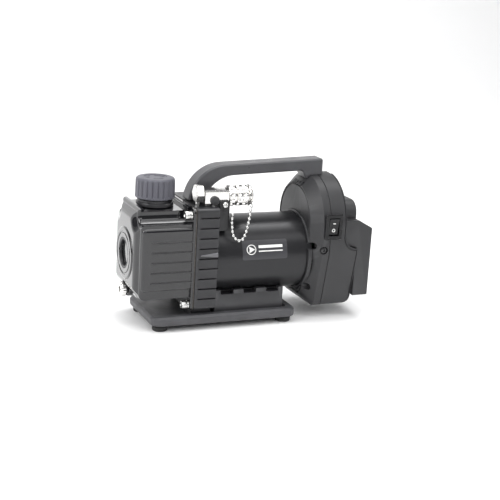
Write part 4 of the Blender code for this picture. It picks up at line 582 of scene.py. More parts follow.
def make_bolt(node):
    """A socket-head screw with its washer; the head is knurled, as such screws are."""
    low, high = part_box(node)
    at = (0, (low.y + high.y) / 2, (low.z + high.z) / 2)
    washer_radius, head, washer = (high.y - low.y) / 2, 3.4 * MM, 1.0 * MM
    seat = low.x + 6.0 * MM
    flutes, sides = 28, 28 * 4
    sections = []
    for along, radius, knurled in (
        (low.x, head - 0.55 * MM, 0), (low.x + 0.12 * MM, head - 0.25 * MM, 0),
        (low.x + 0.5 * MM, head - 0.05 * MM, 1), (low.x + 4.4 * MM, head - 0.05 * MM, 1),
        (low.x + 4.7 * MM, head - 0.2 * MM, 0), (low.x + 5.1 * MM, head - 0.2 * MM, 0),
    ):
        line = []
        for i in range(sides):
            a = 2 * pi * i / sides
            r = radius - knurled * 0.12 * MM * (0.5 + 0.5 * cos(flutes * a))
            line.append((r * cos(a), r * sin(a)))
        sections.append((along, line))
    bolt = loft(f"{node}_head", "X", sections, at)
    key = [polar(1.6 * MM, 60 * i + 15) for i in range(6)]
    socket = prism("socket", "X", key, low.x - MM, low.x + 2.4 * MM, at)
    cut(bolt, socket)
    show(bolt, node)
    edge = 0.18 * MM
    front = seat - washer
    profile = [
        (0, front), (washer_radius - edge, front), (washer_radius, front + edge), (washer_radius, seat - edge),
        (washer_radius - edge, seat), (2 * MM, seat), (2 * MM, high.x - 0.4 * MM), (1.6 * MM, high.x), (0, high.x),
    ]
    show(turned(f"{node}_washer", "X", profile, at, 64), slot="bright_steel", body="pump_body")


# ---- oil cap and its neck
CAP_FLUTES = 22


def cap_line(radius, depth, per_flute=10):
    """A fluted round: wide crests with narrow round grooves between them."""
    line = []
    for i in range(CAP_FLUTES * per_flute):
        a = 2 * pi * i / (CAP_FLUTES * per_flute)
        groove = max(0.0, cos(CAP_FLUTES * a)) ** 3
        line.append(((radius - depth * groove) * cos(a), (radius - depth * groove) * sin(a)))
    return line


def make_oil_cap():
    at = middle("oil_cap")
    at = Vector((at.x, 0, 0))
    radius = (CAP_HIGH.y - CAP_LOW.y) / 2
    top = CAP_HIGH.z
    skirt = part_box("filler_neck")[1].z + 0.8 * MM
    sections = [(skirt, cap_line(radius - 0.5 * MM, 0)), (skirt + 0.4 * MM, cap_line(radius - 0.05 * MM, 0))]
    sections += [(skirt + 1.5 * MM, cap_line(radius, 0)), (skirt + 1.9 * MM, cap_line(radius - 0.05 * MM, 0.5 * MM))]
    sections.append((skirt + 2.6 * MM, cap_line(radius - 0.1 * MM, 0.95 * MM)))
    sections.append((top - 3.6 * MM, cap_line(radius - 0.25 * MM, 0.9 * MM)))
    for i in range(7):
        a = pi / 2 * i / 6
        fall = 1 - sin(a)
        line = cap_line(radius - 0.4 * MM - 2.2 * MM * (1 - cos(a)), 0.75 * MM * fall)
        sections.append((top - 2.2 * MM * fall - 0.3 * MM, line))
    sections.append((top - 0.05 * MM, cap_line(radius - 4.2 * MM, 0)))
    cap = loft("oil_cap_fine", "Z", sections, at)
    bowl = [(0, top - 0.75 * MM), (9.6 * MM, top - 0.55 * MM), (10.0 * MM, top + MM), (0, top + MM)]
    dish = turned("dish", "Z", bowl, at)
    under = disc("under", "Z", 14.0 * MM, skirt - MM, skirt + 1.6 * MM, at)
    vent = disc("vent", "Z", 6.8 * MM, skirt - 2 * MM, top - 4 * MM, at)
    cut(cap, dish, under, vent)
    marks = [cap_arrow(at, top - 0.66 * MM, turn) for turn in (0, 120, 240)]
    weld(cap, *marks)
    show(soften(cap, 0.18 * MM, 2, 38), "oil_cap", look=CAP_PLASTIC)
    bore, shank, end = 7.8 * MM, 10.0 * MM, skirt + 2 * MM
    stem = [(bore, CAP_LOW.z), (shank, CAP_LOW.z), (shank, end), (bore, end)]
    show(turned("oil_cap_stem", "Z", stem, at), slot="matte_black_plastic", body="cap")
    refined("oil_cap_seal", 0.3 * MM, 3)


def cap_arrow(at, level, turn):
    """A raised arc with an arrow's head: which way the cap opens."""
    inner, outer = 6.4 * MM, 7.8 * MM
    neck = turn + 62
    line = arc((0, 0), outer, turn, neck, 12)
    line += [polar(8.9 * MM, neck), polar(7.1 * MM, turn + 82), polar(5.3 * MM, neck)]
    line += arc((0, 0), inner, neck, turn, 12)
    return prism(f"arrow_{turn}", "Z", line, level - 0.6 * MM, level + 0.42 * MM, at)


def make_neck():
    low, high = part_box("filler_neck")
    at = (middle("filler_neck").x, 0, 0)
    bore, shank, radius = 10.3 * MM, 12.0 * MM, 15.6 * MM
    collar = CASE_TOP - 4 * MM + HIDDEN_GAP
    profile = [
        (bore, low.z), (shank, low.z), (shank, collar), (radius - 0.5 * MM, collar), (radius, collar + 0.5 * MM),
        (radius, high.z - 3.0 * MM), (radius - 0.25 * MM, high.z - 2.4 * MM), (radius - 1.0 * MM, high.z - 2.1 * MM),
        (radius - 1.0 * MM, high.z - 0.3 * MM), (radius - 1.3 * MM, high.z), (bore, high.z),
    ]
    show(turned("filler_neck_fine", "Z", profile, at, 120), "filler_neck")


# ---- motor tube and its patch
def make_tube():
    edge = 0.5 * MM
    front, back = TUBE_LOW.x, TUBE_HIGH.x
    inner = TUBE_RADIUS - 2.5 * MM
    profile = [(inner, front), (TUBE_RADIUS - edge, front), (TUBE_RADIUS, front + edge), (TUBE_RADIUS, back - edge)]
    profile += [(TUBE_RADIUS - edge, back), (inner, back)]
    show(turned("motor_tube_fine", "X", profile, (0, 0, AXIS_Z), 240), "motor_tube")


PATCH_LEFT, PATCH_RIGHT = -11.8 * MM, 29.2 * MM
PATCH_LOW_TURN, PATCH_HIGH_TURN = 2.0, 31.0  # degrees up from the tube's side
PATCH_LIFT = 0.10 * MM


def on_tube(x, turn, lift):
    """A point on the tube's near side, turn degrees above its widest line."""
    a = radians(turn)
    radius = TUBE_RADIUS + lift
    return Vector((x, -radius * cos(a), AXIS_Z + radius * sin(a)))


def wrap_outline(name, outline, lift, thickness, inner=None):
    """A thin sheet on the tube, from an outline in (x, degrees)."""
    bm = bmesh.new()
    outer = [[bm.verts.new(on_tube(x, t, level)) for x, t in outline] for level in (lift, lift + thickness)]
    count = len(outline)
    for i in range(count):
        j = (i + 1) % count
        bm.faces.new((outer[0][i], outer[0][j], outer[1][j], outer[1][i]))
    if inner is None:
        bm.faces.new(outer[1])
        bm.faces.new(outer[0])
    else:
        hole = [[bm.verts.new(on_tube(x, t, level)) for x, t in inner] for level in (lift, lift + thickness)]
        for i in range(count):
            j = (i + 1) % count
            bm.faces.new((hole[0][i], hole[0][j], hole[1][j], hole[1][i]))
            for level in (0, 1):
                bm.faces.new((outer[level][i], outer[level][j], hole[level][j], hole[level][i]))
    return finish(name, bm, 50)


def grid_patch(name, x0, x1, t0, t1, lift, thickness, corner=1.2 * MM):
    """A curved plate with round corners, fine enough to follow the tube."""
    columns, rows = 28, 24
    bm = bmesh.new()
    layers = []
    high = radians(t1 - t0) * TUBE_RADIUS
    for level in (lift, lift + thickness):
        grid = []
        for r in range(rows + 1):
            up = high * r / rows
            near = min(up, high - up)
            pull = corner - math.sqrt(max(0.0, corner ** 2 - (corner - near) ** 2)) if near < corner else 0.0
            line = []
            for c in range(columns + 1):
                x = x0 + pull + (x1 - x0 - 2 * pull) * c / columns
                line.append(bm.verts.new(on_tube(x, t0 + (t1 - t0) * r / rows, level)))
            grid.append(line)
        layers.append(grid)
    for grid in layers:
        for r in range(rows):
            for c in range(columns):
                bm.faces.new((grid[r][c], grid[r][c + 1], grid[r + 1][c + 1], grid[r + 1][c]))
    border = [(r, 0) for r in range(rows + 1)] + [(rows, c) for c in range(1, columns + 1)]
    border += [(r, columns) for r in range(rows - 1, -1, -1)] + [(0, c) for c in range(columns - 1, 0, -1)]
    for (r, c), (s, d) in zip(border, border[1:] + border[:1]):
        bm.faces.new((layers[0][r][c], layers[0][s][d], layers[1][s][d], layers[1][r][c]))
    return finish(name, bm, 50)


def make_patch():
    """A plain foil patch with a pump symbol, a circle with a triangle in it, and two rules."""
    patch = grid_patch(
        "tube_patch", PATCH_LEFT, PATCH_RIGHT, PATCH_LOW_TURN, PATCH_HIGH_TURN, PATCH_LIFT, 0.12 * MM
    )
    show(patch, slot="matte_black_plastic", body="pump_body", look=PATCH)
    per_mm = math.degrees(MM / TUBE_RADIUS)
    lift, thick = PATCH_LIFT + 0.13 * MM, 0.04 * MM
    x, turn = PATCH_LEFT + 8.0 * MM, 17.0
    angles = [2 * pi * i / 60 for i in range(60)]
    ring = [[(x + r * cos(a) * MM, turn + r * sin(a) * per_mm) for a in angles] for r in (4.3, 3.6)]
    marks = [wrap_outline("symbol_ring", ring[0], lift, thick, ring[1])]
    triangle = [(x + u * MM, turn + v * per_mm) for u, v in (polar(3.3, a) for a in (0, 125, 235))]
    marks.append(wrap_outline("symbol_triangle", triangle, lift + 0.05 * MM, thick))
    for name, width, up, thick_mm in (("rule_long", 22.0, 2.2, 2.3), ("rule_short", 22.0, -1.6, 0.9)):
        start = x + 6.6 * MM
        low, high = turn + (up - thick_mm / 2) * per_mm, turn + (up + thick_mm / 2) * per_mm
        marks.append(grid_patch(name, start, start + width * MM, low, high, lift, thick, 0.3 * MM))
    for mark in marks:
        show(mark, slot="matte_black_plastic", body="pump_body", look=WHITE)


# ---- rear housing
ARCH_HALF, ARCH_TOP, ARCH_BOTTOM, ARCH_FOOT_HALF = 40.0 * MM, 124.5 * MM, 11.5 * MM, 31.0 * MM
ARCH_WAIST = 60.0 * MM
REAR_WALL = 2.5 * MM
REAR_FACE = FRONT_LOW.x + 2.4 * MM
CHAMFER_LENGTH, CHAMFER_INSET = 8.0 * MM, 9.5 * MM
PARTING = (FRONT_HIGH.x + REAR_LOW.x) / 2
STEP_Z, STEP_RADIUS = 64.5 * MM, 12.0 * MM
UPPER_BACK, LOWER_BACK = PARTING + 15.0 * MM, PARTING + 27.6 * MM
SCREWS = [(-33.6 * MM, 67.5 * MM), (33.6 * MM, 67.5 * MM), (-27 * MM, 29.5 * MM), (27 * MM, 29.5 * MM)]
SWITCH = middle("switch_frame")
SWITCH_Y = -ARCH_HALF - 0.6 * MM


def arch_outline(inset, steps=72):
    """The housing across X: a half round on sides that draw in below the waist."""
    half, low = ARCH_HALF - inset, ARCH_BOTTOM + inset
    foot = ARCH_FOOT_HALF - inset
    corner = 6.0 * MM
    points = arc((0, ARCH_TOP - ARCH_HALF), half, 0, 180, steps)
    points.append((-half, ARCH_WAIST))
    left = arc((-foot + corner, low + corner), corner, 190, 270, 10)
    return points + left + [(-y, z) for y, z in reversed(left)] + [(half, ARCH_WAIST)]


def arch_loft(name, stations):
    return loft(name, "X", [(x, arch_outline(inset)) for x, inset in stations])


def switch_hole(name):
    half_x, half_z = 6.8 * MM, 9.6 * MM
    low = (SWITCH.x - half_x, -46 * MM, SWITCH.z - half_z)
    return block(name, low, (SWITCH.x + half_x, -20 * MM, SWITCH.z + half_z))


def side_screw_hole(name):
    screw = middle("side_screw")
    return disc(name, "Y", 3.5 * MM, -46 * MM, -ARCH_HALF + 2.2 * MM, (screw.x, 0, screw.z), 48)


def make_front_shell():
    face = REAR_FACE - MM
    shell = arch_loft("rear_front_fine", [
        (PARTING - HIDDEN_GAP / 2, 0.35 * MM), (PARTING - HIDDEN_GAP / 2 - 0.35 * MM, 0),
        (face + MM + CHAMFER_LENGTH, 0), (face, CHAMFER_INSET - 1.2 * MM), (face, CHAMFER_INSET - 0.2 * MM),
        (face + 0.9 * MM, CHAMFER_INSET), (face + 0.9 * MM, CHAMFER_INSET + 0.9 * MM),
        (face + 0.15 * MM, CHAMFER_INSET + 1.3 * MM),
    ])
    at = (0, 0, AXIS_Z)
    hollow = arch_loft("hollow", [
        (PARTING + 5 * MM, REAR_WALL), (face + MM + CHAMFER_LENGTH + 0.6 * MM, REAR_WALL),
        (face + MM + REAR_WALL, CHAMFER_INSET + REAR_WALL),
    ])
    cut(shell, hollow)
    end = PARTING - HIDDEN_GAP / 2
    posts = [disc(f"post_{y}_{z}", "X", 5.6 * MM, face + 7 * MM, end, (0, y, z), 48) for y, z in SCREWS]
    trim = block("trim", (face - 20 * MM, -80 * MM, 0), (PARTING + 20 * MM, 80 * MM, 160 * MM))
    outside = arch_loft("outside", [
        (PARTING + 30 * MM, 0.4 * MM), (face + MM + CHAMFER_LENGTH, 0.4 * MM),
        (face, CHAMFER_INSET - 0.8 * MM), (face - MM, CHAMFER_INSET - 0.8 * MM),
    ])
    cut(trim, outside)
    for post in posts:
        copy = bpy.data.objects.new("trim_copy", trim.data.copy())
        link(copy)
        cut(post, copy)
    bpy.data.objects.remove(trim, do_unlink=True)
    lip = TUBE_RADIUS + 2.4 * MM
    collar = turned("collar", "X", [
        (TUBE_RADIUS - MM, FRONT_LOW.x), (lip - 0.9 * MM, FRONT_LOW.x), (lip - 0.25 * MM, FRONT_LOW.x + 0.3 * MM),
        (lip, FRONT_LOW.x + 0.9 * MM), (lip, face + 2 * MM), (TUBE_RADIUS - MM, face + 2 * MM),
    ], at, 160)
    weld(shell, *posts, collar)
    bore = disc("bore", "X", TUBE_RADIUS + HIDDEN_GAP, face - 10 * MM, face + 14 * MM, at, 200)
    vents = []
    for i in range(5):
        y = (i - 2) * 4 * MM
        low = (face - 10 * MM, y - 0.9 * MM, ARCH_TOP - 11.5 * MM)
        high = (face + 8 * MM, y + 0.9 * MM, ARCH_TOP - 6.5 * MM)
        vents.append(soften(block(f"vent_{i}", low, high), 0.4 * MM, 2))
    pockets, bores = [], []
    floor = face + CHAMFER_LENGTH
    for y, z in SCREWS:
        pockets.append(disc(f"pocket_{y}_{z}", "X", 3.1 * MM, face - 10 * MM, floor, (0, y, z), 48))
        bores.append(disc(f"bore_{y}_{z}", "X", 1.8 * MM, floor - MM, PARTING + MM, (0, y, z), 24))
    cut(shell, bore, *vents, *pockets, *bores, switch_hole("switch_a"), side_screw_hole("screw_a"))
    show(soften(shell, 0.35 * MM, 3, 28), "rear_housing_front")


def step_outline(clearance):
    upper, lower = UPPER_BACK - clearance, LOWER_BACK - clearance
    far, top = LOWER_BACK + 60 * MM, ARCH_TOP + 40 * MM
    shelf = STEP_Z - clearance
    scoop = arc((upper + STEP_RADIUS, shelf + STEP_RADIUS), STEP_RADIUS, 180, 270, 20)
    heel = arc((lower - 8 * MM, ARCH_BOTTOM + 8 * MM), 8 * MM, 0, -90, 14)
    return [(far, top), (upper, top)] + scoop + [(lower, shelf)] + heel + [(lower - 8 * MM, 0), (far, 0)]


def make_rear_shell():
    start = PARTING + HIDDEN_GAP / 2
    shell = arch_loft("rear_rear_fine", [(start, 0.35 * MM), (start + 0.35 * MM, 0), (LOWER_BACK + 10 * MM, 0)])
    cut(shell, prism("battery_space", "Y", step_outline(0), -0.1, 0.1))
    hollow = arch_loft("hollow", [(start - 5 * MM, REAR_WALL), (LOWER_BACK + 10 * MM, REAR_WALL)])
    cut(hollow, prism("stop", "Y", step_outline(REAR_WALL), -0.12, 0.12))
    posts = [disc(f"post_{y}_{z}", "X", 4.6 * MM, start, start + 11 * MM, (0, y, z), 48) for y, z in SCREWS]
    bores = [disc(f"bore_{y}_{z}", "X", 1.8 * MM, start - MM, start + 10 * MM, (0, y, z), 24) for y, z in SCREWS]
    cut(shell, hollow)
    weld(shell, *posts)
    neck, head, root = 12 * MM, 15 * MM, LOWER_BACK - MM
    near, far = LOWER_BACK + 2.2 * MM, LOWER_BACK + 4.4 * MM
    rail_line = [(root, -neck), (near, -neck), (near, -head), (far, -head)]
    rail_line += [(x, -y) for x, y in reversed(rail_line)]
    weld(shell, prism("rail", "Z", rail_line, ARCH_BOTTOM + 16 * MM, 58 * MM))
    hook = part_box("battery_latch")
    low = (UPPER_BACK - 1.5 * MM, -5.1 * MM, hook[0].z - 1.2 * MM)
    groove = block("groove", low, (UPPER_BACK + MM, 5.1 * MM, ARCH_TOP + MM))
    blade = block("blade", (LOWER_BACK - 6 * MM, -6.3 * MM, 58.2 * MM), (LOWER_BACK + 6 * MM, 6.3 * MM, 62.2 * MM))
    seam = prism("seam", "Y", step_outline(1.5 * MM), -0.1, 0.1)
    seam_core = arch_loft("seam_core", [(start - 5 * MM, 0.9 * MM), (LOWER_BACK + 90 * MM, 0.9 * MM)])
    cut(seam, prism("seam_back", "Y", step_outline(0.8 * MM), -0.12, 0.12), seam_core)
    cut(shell, *bores, groove, blade, switch_hole("switch_b"), side_screw_hole("screw_b"), seam)
    show(soften(shell, 0.5 * MM, 3, 28), "rear_housing_rear")


# ---- the switch
def make_switch():
    half_x, half_z = 8.0 * MM, 11.0 * MM
    lines = rounded(-half_x, half_x, -half_z, half_z, 1.2 * MM)
    at = (SWITCH.x, SWITCH_Y, SWITCH.z)
    inner = rounded(-half_x + 0.7 * MM, half_x - 0.7 * MM, -half_z + 0.7 * MM, half_z - 0.7 * MM, 0.8 * MM)
    bezel = loft("switch_frame_fine", "Y", [(0.3 * MM, lines), (-0.5 * MM, lines), (-1.2 * MM, inner)], at)
    low = (SWITCH.x - 6.5 * MM, SWITCH_Y - 0.6 * MM, SWITCH.z - 9.3 * MM)
    body = block("body", low, (SWITCH.x + 6.5 * MM, SWITCH_Y + 11 * MM, SWITCH.z + 9.3 * MM))
    rocker_low, rocker_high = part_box("switch_rocker")
    gap = 0.3 * MM
    low = (rocker_low.x - gap, SWITCH_Y - 5 * MM, rocker_low.z - 2 * gap)
    well = block("well", low, (rocker_high.x + gap, SWITCH_Y + 7 * MM, rocker_high.z + 2 * gap))
    show(soften(cut(weld(bezel, body), well), 0.2 * MM, 2), "switch_frame", look=SWITCH_BLACK)
    refined("switch_rocker", 0.35 * MM, 3, look=SWITCH_BLACK)
    make_switch_marks(rocker_low, rocker_high)


def make_switch_marks(low, high):
    """The line and the circle that every such switch carries."""
    lift = 0.04 * MM
    centre_x, centre_z = (low.x + high.x) / 2, (low.z + high.z) / 2
    half_z = (high.z - low.z) / 2
    upper_tilt = math.atan2(1.5 * MM, half_z)
    lower_tilt = math.atan2(0.6 * MM, half_z)
    ridge_y = SWITCH_Y - 0.3 * MM

    def on_rocker(x, z):
        tilt = math.tan(upper_tilt) if z > 0 else math.tan(lower_tilt)
        return Vector((centre_x + x, ridge_y - z * tilt - lift, centre_z + z))

    def mark(name, faces):
        bm = bmesh.new()
        for face in faces:
            front = [bm.verts.new(on_rocker(x, z)) for x, z in face]
            back = [bm.verts.new(on_rocker(x, z) + Vector((0, 0.03 * MM, 0))) for x, z in face]
            bm.faces.new(front)
            bm.faces.new(back)
            for i in range(len(face)):
                j = (i + 1) % len(face)
                bm.faces.new((front[i], front[j], back[j], back[i]))
        show(finish(name, bm), slot="matte_black_plastic", body="rocker", look=WHITE)

    mark("on_mark", [[(-1.3 * MM, 2.6 * MM), (1.3 * MM, 2.6 * MM), (1.3 * MM, 3.3 * MM), (-1.3 * MM, 3.3 * MM)]])
    turns = 36
    wide, narrow, middle_z = 1.55 * MM, 0.9 * MM, -3.1 * MM
    faces = []
    for i in range(turns):
        a, b = (2 * pi * k / turns for k in (i, i + 1))
        ends = ((narrow, a), (wide, a), (wide, b), (narrow, b))
        faces.append([(r * cos(t), middle_z + r * sin(t)) for r, t in ends])
    mark("off_mark", faces)


# ---- handle
def handle_outline():
    """Along Y: an arc up from the centre housing, a straight grip, and a pad on the rear housing."""
    low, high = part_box("handle")
    left, top = low.x, high.z
    end = high.x
    top_low = top - 3.6 * MM
    radius, inner_radius, thick = 33.0 * MM, 28.4 * MM, 9.6 * MM
    outer_centre = (left + radius + 0.1 * MM, top_low - radius)
    foot = low.z
    tilt = math.degrees(math.atan((top - top_low) / (end - outer_centre[0])))
    foot_turn = math.degrees(math.asin((foot - outer_centre[1]) / radius))
    outer = arc(outer_centre, radius, 180 - foot_turn, 90 + tilt, 36)
    inner_centre = (outer_centre[0] + 9.0 * MM, top_low - thick - inner_radius + 0.5 * MM)
    inner = arc(inner_centre, inner_radius, 90 + tilt, 150, 28)
    pad = end - 15 * MM
    right = [(end - 1.5 * MM, top), (end, top - 1.5 * MM), (end, ARCH_TOP - 5 * MM), (pad, ARCH_TOP - 5 * MM)]
    right.append((PARTING - 15 * MM, top - thick - 0.6 * MM))
    return outer + right + inner + [(left + 18.1 * MM, foot)]


def make_handle():
    half = 8.0 * MM
    handle = soften(prism("handle_fine", "Y", handle_outline(), -half, half), 2.8 * MM, 1, 50)
    clear = arch_loft("clear", [
        (PARTING + 20 * MM, -HIDDEN_GAP), (REAR_FACE + CHAMFER_LENGTH - HIDDEN_GAP, -HIDDEN_GAP),
        (REAR_FACE - MM - HIDDEN_GAP, CHAMFER_INSET - 1.5 * MM),
    ])
    cut(handle, clear)
    show(soften(handle, 0.3 * MM, 3, 20, 50), "handle", look=GRIP_BLACK)


# ---- base, feet, cradle, centre housing
def make_base():
    refined("base_plate", 0.6 * MM, 4, 20, look=BASE_BLACK)
    refined("motor_cradle", 0.5 * MM, 3)
    for i in range(1, 5):
        node = f"rubber_foot_{i}"
        low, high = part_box(node)
        radius = (high.x - low.x) / 2
        at = ((low.x + high.x) / 2, (low.y + high.y) / 2, 0)
        profile = [(0, 0.8 * MM), (1.8 * MM, 0.8 * MM), (2.4 * MM, 0.0)] + [
            (radius - 1.2 * MM + 1.2 * MM * sin(radians(a)), 1.2 * MM - 1.2 * MM * cos(radians(a)))
            for a in range(0, 91, 15)
        ]
        neck = radius - 0.5 * MM
        profile += [(radius, high.z - 1.6 * MM), (neck, high.z - 1.2 * MM), (neck, high.z), (0, high.z)]
        show(turned(f"{node}_fine", "Z", profile, at, 64), node)


def make_centre_housing():
    refined("centre_housing", 0.28 * MM, 2, 32)
    refined("case_gasket", 0.1 * MM, 1)
    # A slanted wedge on the housing's near side, coloured light grey as a painted highlight of the softbox's
    # reflection.
    wedge_low, wedge_high = 62.5 * MM, 68.0 * MM
    front, back = HOUSING_LOW.x + 4.2 * MM, HOUSING_HIGH.x - 0.2 * MM
    near, proud, deep = HOUSING_LOW.y - 0.1 * MM, HOUSING_LOW.y - 0.9 * MM, HOUSING_LOW.y + 4.2 * MM
    bm = bmesh.new()
    shape = [
        (front, near, wedge_low + 1.2 * MM), (back, proud, wedge_low),
        (back, proud, wedge_high - 2.4 * MM), (front, near, wedge_high - 3.8 * MM),
        (front, deep, wedge_low + 0.4 * MM), (back, deep, wedge_low - 0.4 * MM),
        (back, deep, wedge_high + 0.6 * MM), (front, deep, wedge_high - 1.6 * MM),
    ]
    verts = [bm.verts.new(point) for point in shape]
    for face in ((0, 1, 2, 3), (7, 6, 5, 4), (0, 4, 5, 1), (1, 5, 6, 2), (2, 6, 7, 3), (3, 7, 4, 0)):
        bm.faces.new([verts[i] for i in face])
    web = soften(finish("side_web_painted_highlight", bm), 0.4 * MM, 3)
    show(web, slot="satin_black_casting", body="pump_body", look=WEB_PAINTED_HIGHLIGHT)


# ---- inlet fitting, bracket and flare cap
FLARE_LOW, FLARE_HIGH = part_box("flare_cap")
FLARE_AXIS = ((FLARE_LOW.y + FLARE_HIGH.y) / 2, (FLARE_LOW.z + FLARE_HIGH.z) / 2)


def knurled(name, stations, at, radius, sides=12, pitch=5.4 * MM):
    """A bar along X with rows of drilled-looking pits; each station is (place, radius change, pit depth)."""
    around = sides * 14
    sections = []
    for along, change, depth in stations:
        line = []
        for i in range(around):
            a = 2 * pi * i / around
            wave = -0.5 * (cos(sides * a) + cos(2 * pi * along / pitch))
            pit = max(0.0, wave - 0.2) / 0.8
            r = radius + change - depth * pit ** 0.6
            line.append((r * cos(a), r * sin(a)))
        sections.append((along, line))
    return loft(name, "X", sections, at)


def make_flare_cap():
    low, high = FLARE_LOW.x, FLARE_HIGH.x
    radius = (FLARE_HIGH.z - FLARE_LOW.z) / 2
    pitted_near = [(1.0 + 0.25 * i, 0, 1.5) for i in range(17)]
    pitted_far = [(7.8 + 0.25 * i, 0, 1.5) for i in range(36)]
    stations = [(x * MM, change * MM, pit * MM) for x, change, pit in (
        [(0, -0.9, 0), (0.15, -0.5, 0), (0.6, -0.1, 0)] + pitted_near
        + [(5.3, -0.3, 0), (5.8, -1.6, 0), (6.9, -1.6, 0), (7.4, -0.3, 0)] + pitted_far
        + [(16.9, -0.3, 0), (17.6, -1.6, 0), (20.0, -1.6, 0), (20.3, -0.9, 0)]
    )]
    length = high - low
    stations += [(length - 0.5 * MM, -0.65 * MM, 0), (length - 0.15 * MM, -0.9 * MM, 0), (length, -1.4 * MM, 0)]
    cap = knurled("flare_cap_fine", stations, (low, *FLARE_AXIS), radius)
    bore = disc("bore", "X", 6.3 * MM, -MM, 14.0 * MM, (low, *FLARE_AXIS), 64)
    cut(cap, bore)
    cap.data.shade_smooth()
    cap.data.set_sharp_from_angle(angle=radians(50))
    show(cap, "flare_cap")
    refined("chain_ring", 0.25 * MM, 3)


def make_inlet():
    refined("inlet_fitting", 0.35 * MM, 3, 28)
    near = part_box("inlet_fitting")[0].y
    at = (HOUSING_HIGH.x - 1.5 * MM, near, FLARE_AXIS[1] - 2.4 * MM)
    plug = [
        (0, 1.4 * MM), (3.8 * MM, 1.4 * MM), (3.8 * MM, 0.1 * MM), (3.5 * MM, -0.25 * MM),
        (1.9 * MM, -0.25 * MM), (1.6 * MM, -0.06 * MM), (0, -0.06 * MM),
    ]
    plug = turned("port_plug", "Y", plug, at, 48)
    show(plug, slot="nickel_plated_brass", body="pump_body", look=DARK_STEEL)
    refined("inlet_end_fitting", 0.5 * MM, 3, 28)
    refined("inlet_bracket", 0.5 * MM, 3, 30, look=SWITCH_BLACK)
    low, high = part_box("bracket_screw")
    at = ((low.x + high.x) / 2, 0, (low.z + high.z) / 2)
    radius = (high.x - low.x) / 2
    head = [(0, low.y)]
    for turn in (15, 30, 45, 60, 75, 90):
        a = radians(turn)
        head.append((radius * sin(a), low.y + 1.5 * MM * (1 - cos(a))))
    seat, shank, long, short = low.y + 2.0 * MM, 1.5 * MM, 1.6 * MM, 0.3 * MM
    head += [(radius, seat), (shank, seat), (shank, high.y), (0, high.y)]
    screw = turned("bracket_screw_fine", "Y", head, at, 64)
    slots = [
        block(f"slot_{i}", (at[0] - a, low.y - MM, at[2] - b), (at[0] + a, low.y + 1.0 * MM, at[2] + b))
        for i, (a, b) in enumerate(((long, short), (short, long)))
    ]
    show(soften(cut(screw, *slots), 0.08 * MM, 2), "bracket_screw")


# ---- bead chain
def smooth_route(points, per_span):
    ends = [points[0] * 2 - points[1]] + points + [points[-1] * 2 - points[-2]]
    route = []
    for p0, p1, p2, p3 in zip(ends, ends[1:], ends[2:], ends[3:]):
        for i in range(per_span):
            t = i / per_span
            bend = (2 * p0 - 5 * p1 + 4 * p2 - p3) * t ** 2 + (3 * p1 - p0 - 3 * p2 + p3) * t ** 3
            route.append(0.5 * (2 * p1 + (p2 - p0) * t + bend))
    return route + [points[-1]]


def evenly(route, step):
    """Points along the route, step apart or a little less, its ends included."""
    lengths = [0.0]
    for a, b in zip(route, route[1:]):
        lengths.append(lengths[-1] + (b - a).length)
    count = round(lengths[-1] / step)
    points, k = [], 0
    for i in range(count + 1):
        want = lengths[-1] * i / count
        while k < len(route) - 2 and lengths[k + 1] < want:
            k += 1
        share = (want - lengths[k]) / (lengths[k + 1] - lengths[k])
        points.append(route[k].lerp(route[k + 1], share))
    return points, lengths[-1]


def make_chain():
    route = smooth_route([Vector(point) * MM for point in CHAIN_ROUTE], 12)
    places, length = evenly(route, CHAIN_PITCH)
    bm = bmesh.new()
    for place_of in places:
        made = bmesh.ops.create_uvsphere(bm, u_segments=20, v_segments=12, radius=CHAIN_BEAD / 2)
        bmesh.ops.translate(bm, verts=made["verts"], vec=place_of)
    pin = 0.42 * MM
    for a, b in zip(places, places[1:]):
        made = bmesh.ops.create_cone(bm, segments=12, radius1=pin, radius2=pin, depth=(b - a).length, cap_ends=True)
        turn = Vector((0, 0, 1)).rotation_difference(b - a).to_matrix().to_4x4()
        bmesh.ops.transform(bm, verts=made["verts"], matrix=Matrix.Translation((a + b) / 2) @ turn)
    chain = finish("bead_chain", bm, 60)
    show(chain, "cap_chain")


# ---- battery, screws and the pieces inside
def make_battery():
    refined("battery_shell", 0.35 * MM, 3, 28)
    refined("battery_latch", 0.5 * MM, 3)


def make_screws():
    for i in range(1, 5):
        refined(f"housing_screw_{i}", 0.15 * MM, 2, look=DARK_STEEL)
    refined("side_screw", 0.15 * MM, 2, look=DARK_STEEL)


def make_inside():
    """The pieces behind the covers keep their CAD shapes, with their edges eased and their own finishes."""
    done = {node for piece in bpy.data.objects for node in piece.get("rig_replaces", [])}
    for node in sorted(set(NODE_SLOT) - done):
        refined(node, 0.2 * MM, 2, 32)


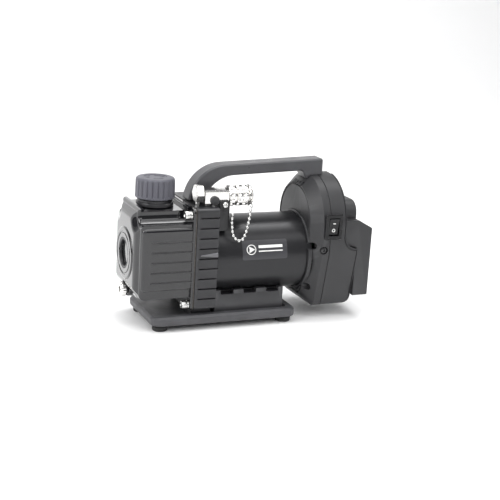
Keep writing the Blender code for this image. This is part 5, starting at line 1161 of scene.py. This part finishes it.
# ---- studio
def make_studio():
    reach, rise = 3.0, 2.4
    radius, steps = 0.8, 24
    wall_y = 1.6
    line = [(-reach, 0.0)]
    for i in range(steps + 1):
        a = pi / 2 * i / steps
        line.append((wall_y - radius + radius * sin(a), radius - radius * cos(a)))
    line.append((wall_y, rise))
    bm = bmesh.new()
    rows = [[bm.verts.new((x, y, z)) for y, z in line] for x in (-reach, reach)]
    for i in range(len(line) - 1):
        bm.faces.new((rows[0][i], rows[0][i + 1], rows[1][i + 1], rows[1][i]))
    sweep = finish("studio_sweep", bm, 60)
    paper = Look("studio_paper", (0.93, 0.93, 0.93), 0.8)
    sweep.data.materials.append(paper.vary_colour(0.5, 0.006).material)


def softbox(name, place_at, aim, width, height, power):
    light = bpy.data.lights.new(name, "AREA")
    light.shape, light.size, light.size_y = "RECTANGLE", width, height
    light.energy = power
    lamp = bpy.data.objects.new(name, light)
    lamp.location = place_at
    lamp.rotation_euler = (Vector(aim) - Vector(place_at)).to_track_quat("-Z", "Y").to_euler()
    link(lamp)


def make_lights():
    centre = (0, 0, 0.06)
    softbox("above", (0.1, -0.1, 1.3), centre, 1.5, 0.9, 11)
    softbox("left", (-1.3, -0.25, 0.75), centre, 0.8, 0.9, 13)
    softbox("front", (-0.3, -1.5, 1.0), centre, 1.2, 0.5, 7)
    softbox("floor", (0.3, -0.7, 0.9), (0.3, -0.7, 0), 0.8, 0.5, 2.5)
    softbox("right", (1.3, -0.9, 0.7), centre, 0.6, 0.9, 5)
    softbox("backdrop", (0.0, 0.2, 2.2), (0, 1.6, 0.9), 2.4, 0.8, 30)
    world = bpy.data.worlds.new("studio")
    world.use_nodes = True
    sky = world.node_tree.nodes["Background"]
    sky.inputs["Color"].default_value = (0.97, 0.98, 1, 1)
    sky.inputs["Strength"].default_value = 0.2
    scene = bpy.context.scene
    scene.world = world
    scene.view_settings.view_transform = "Standard"
    scene.view_settings.look = "None"


# ---- the whole pump
make_oil_case()
make_front_fittings()
make_oil_cap()
make_neck()
make_tube()
make_patch()
make_front_shell()
make_rear_shell()
make_switch()
make_handle()
make_base()
make_centre_housing()
make_flare_cap()
make_inlet()
make_chain()
make_battery()
make_screws()
make_inside()
make_studio()
make_lights()
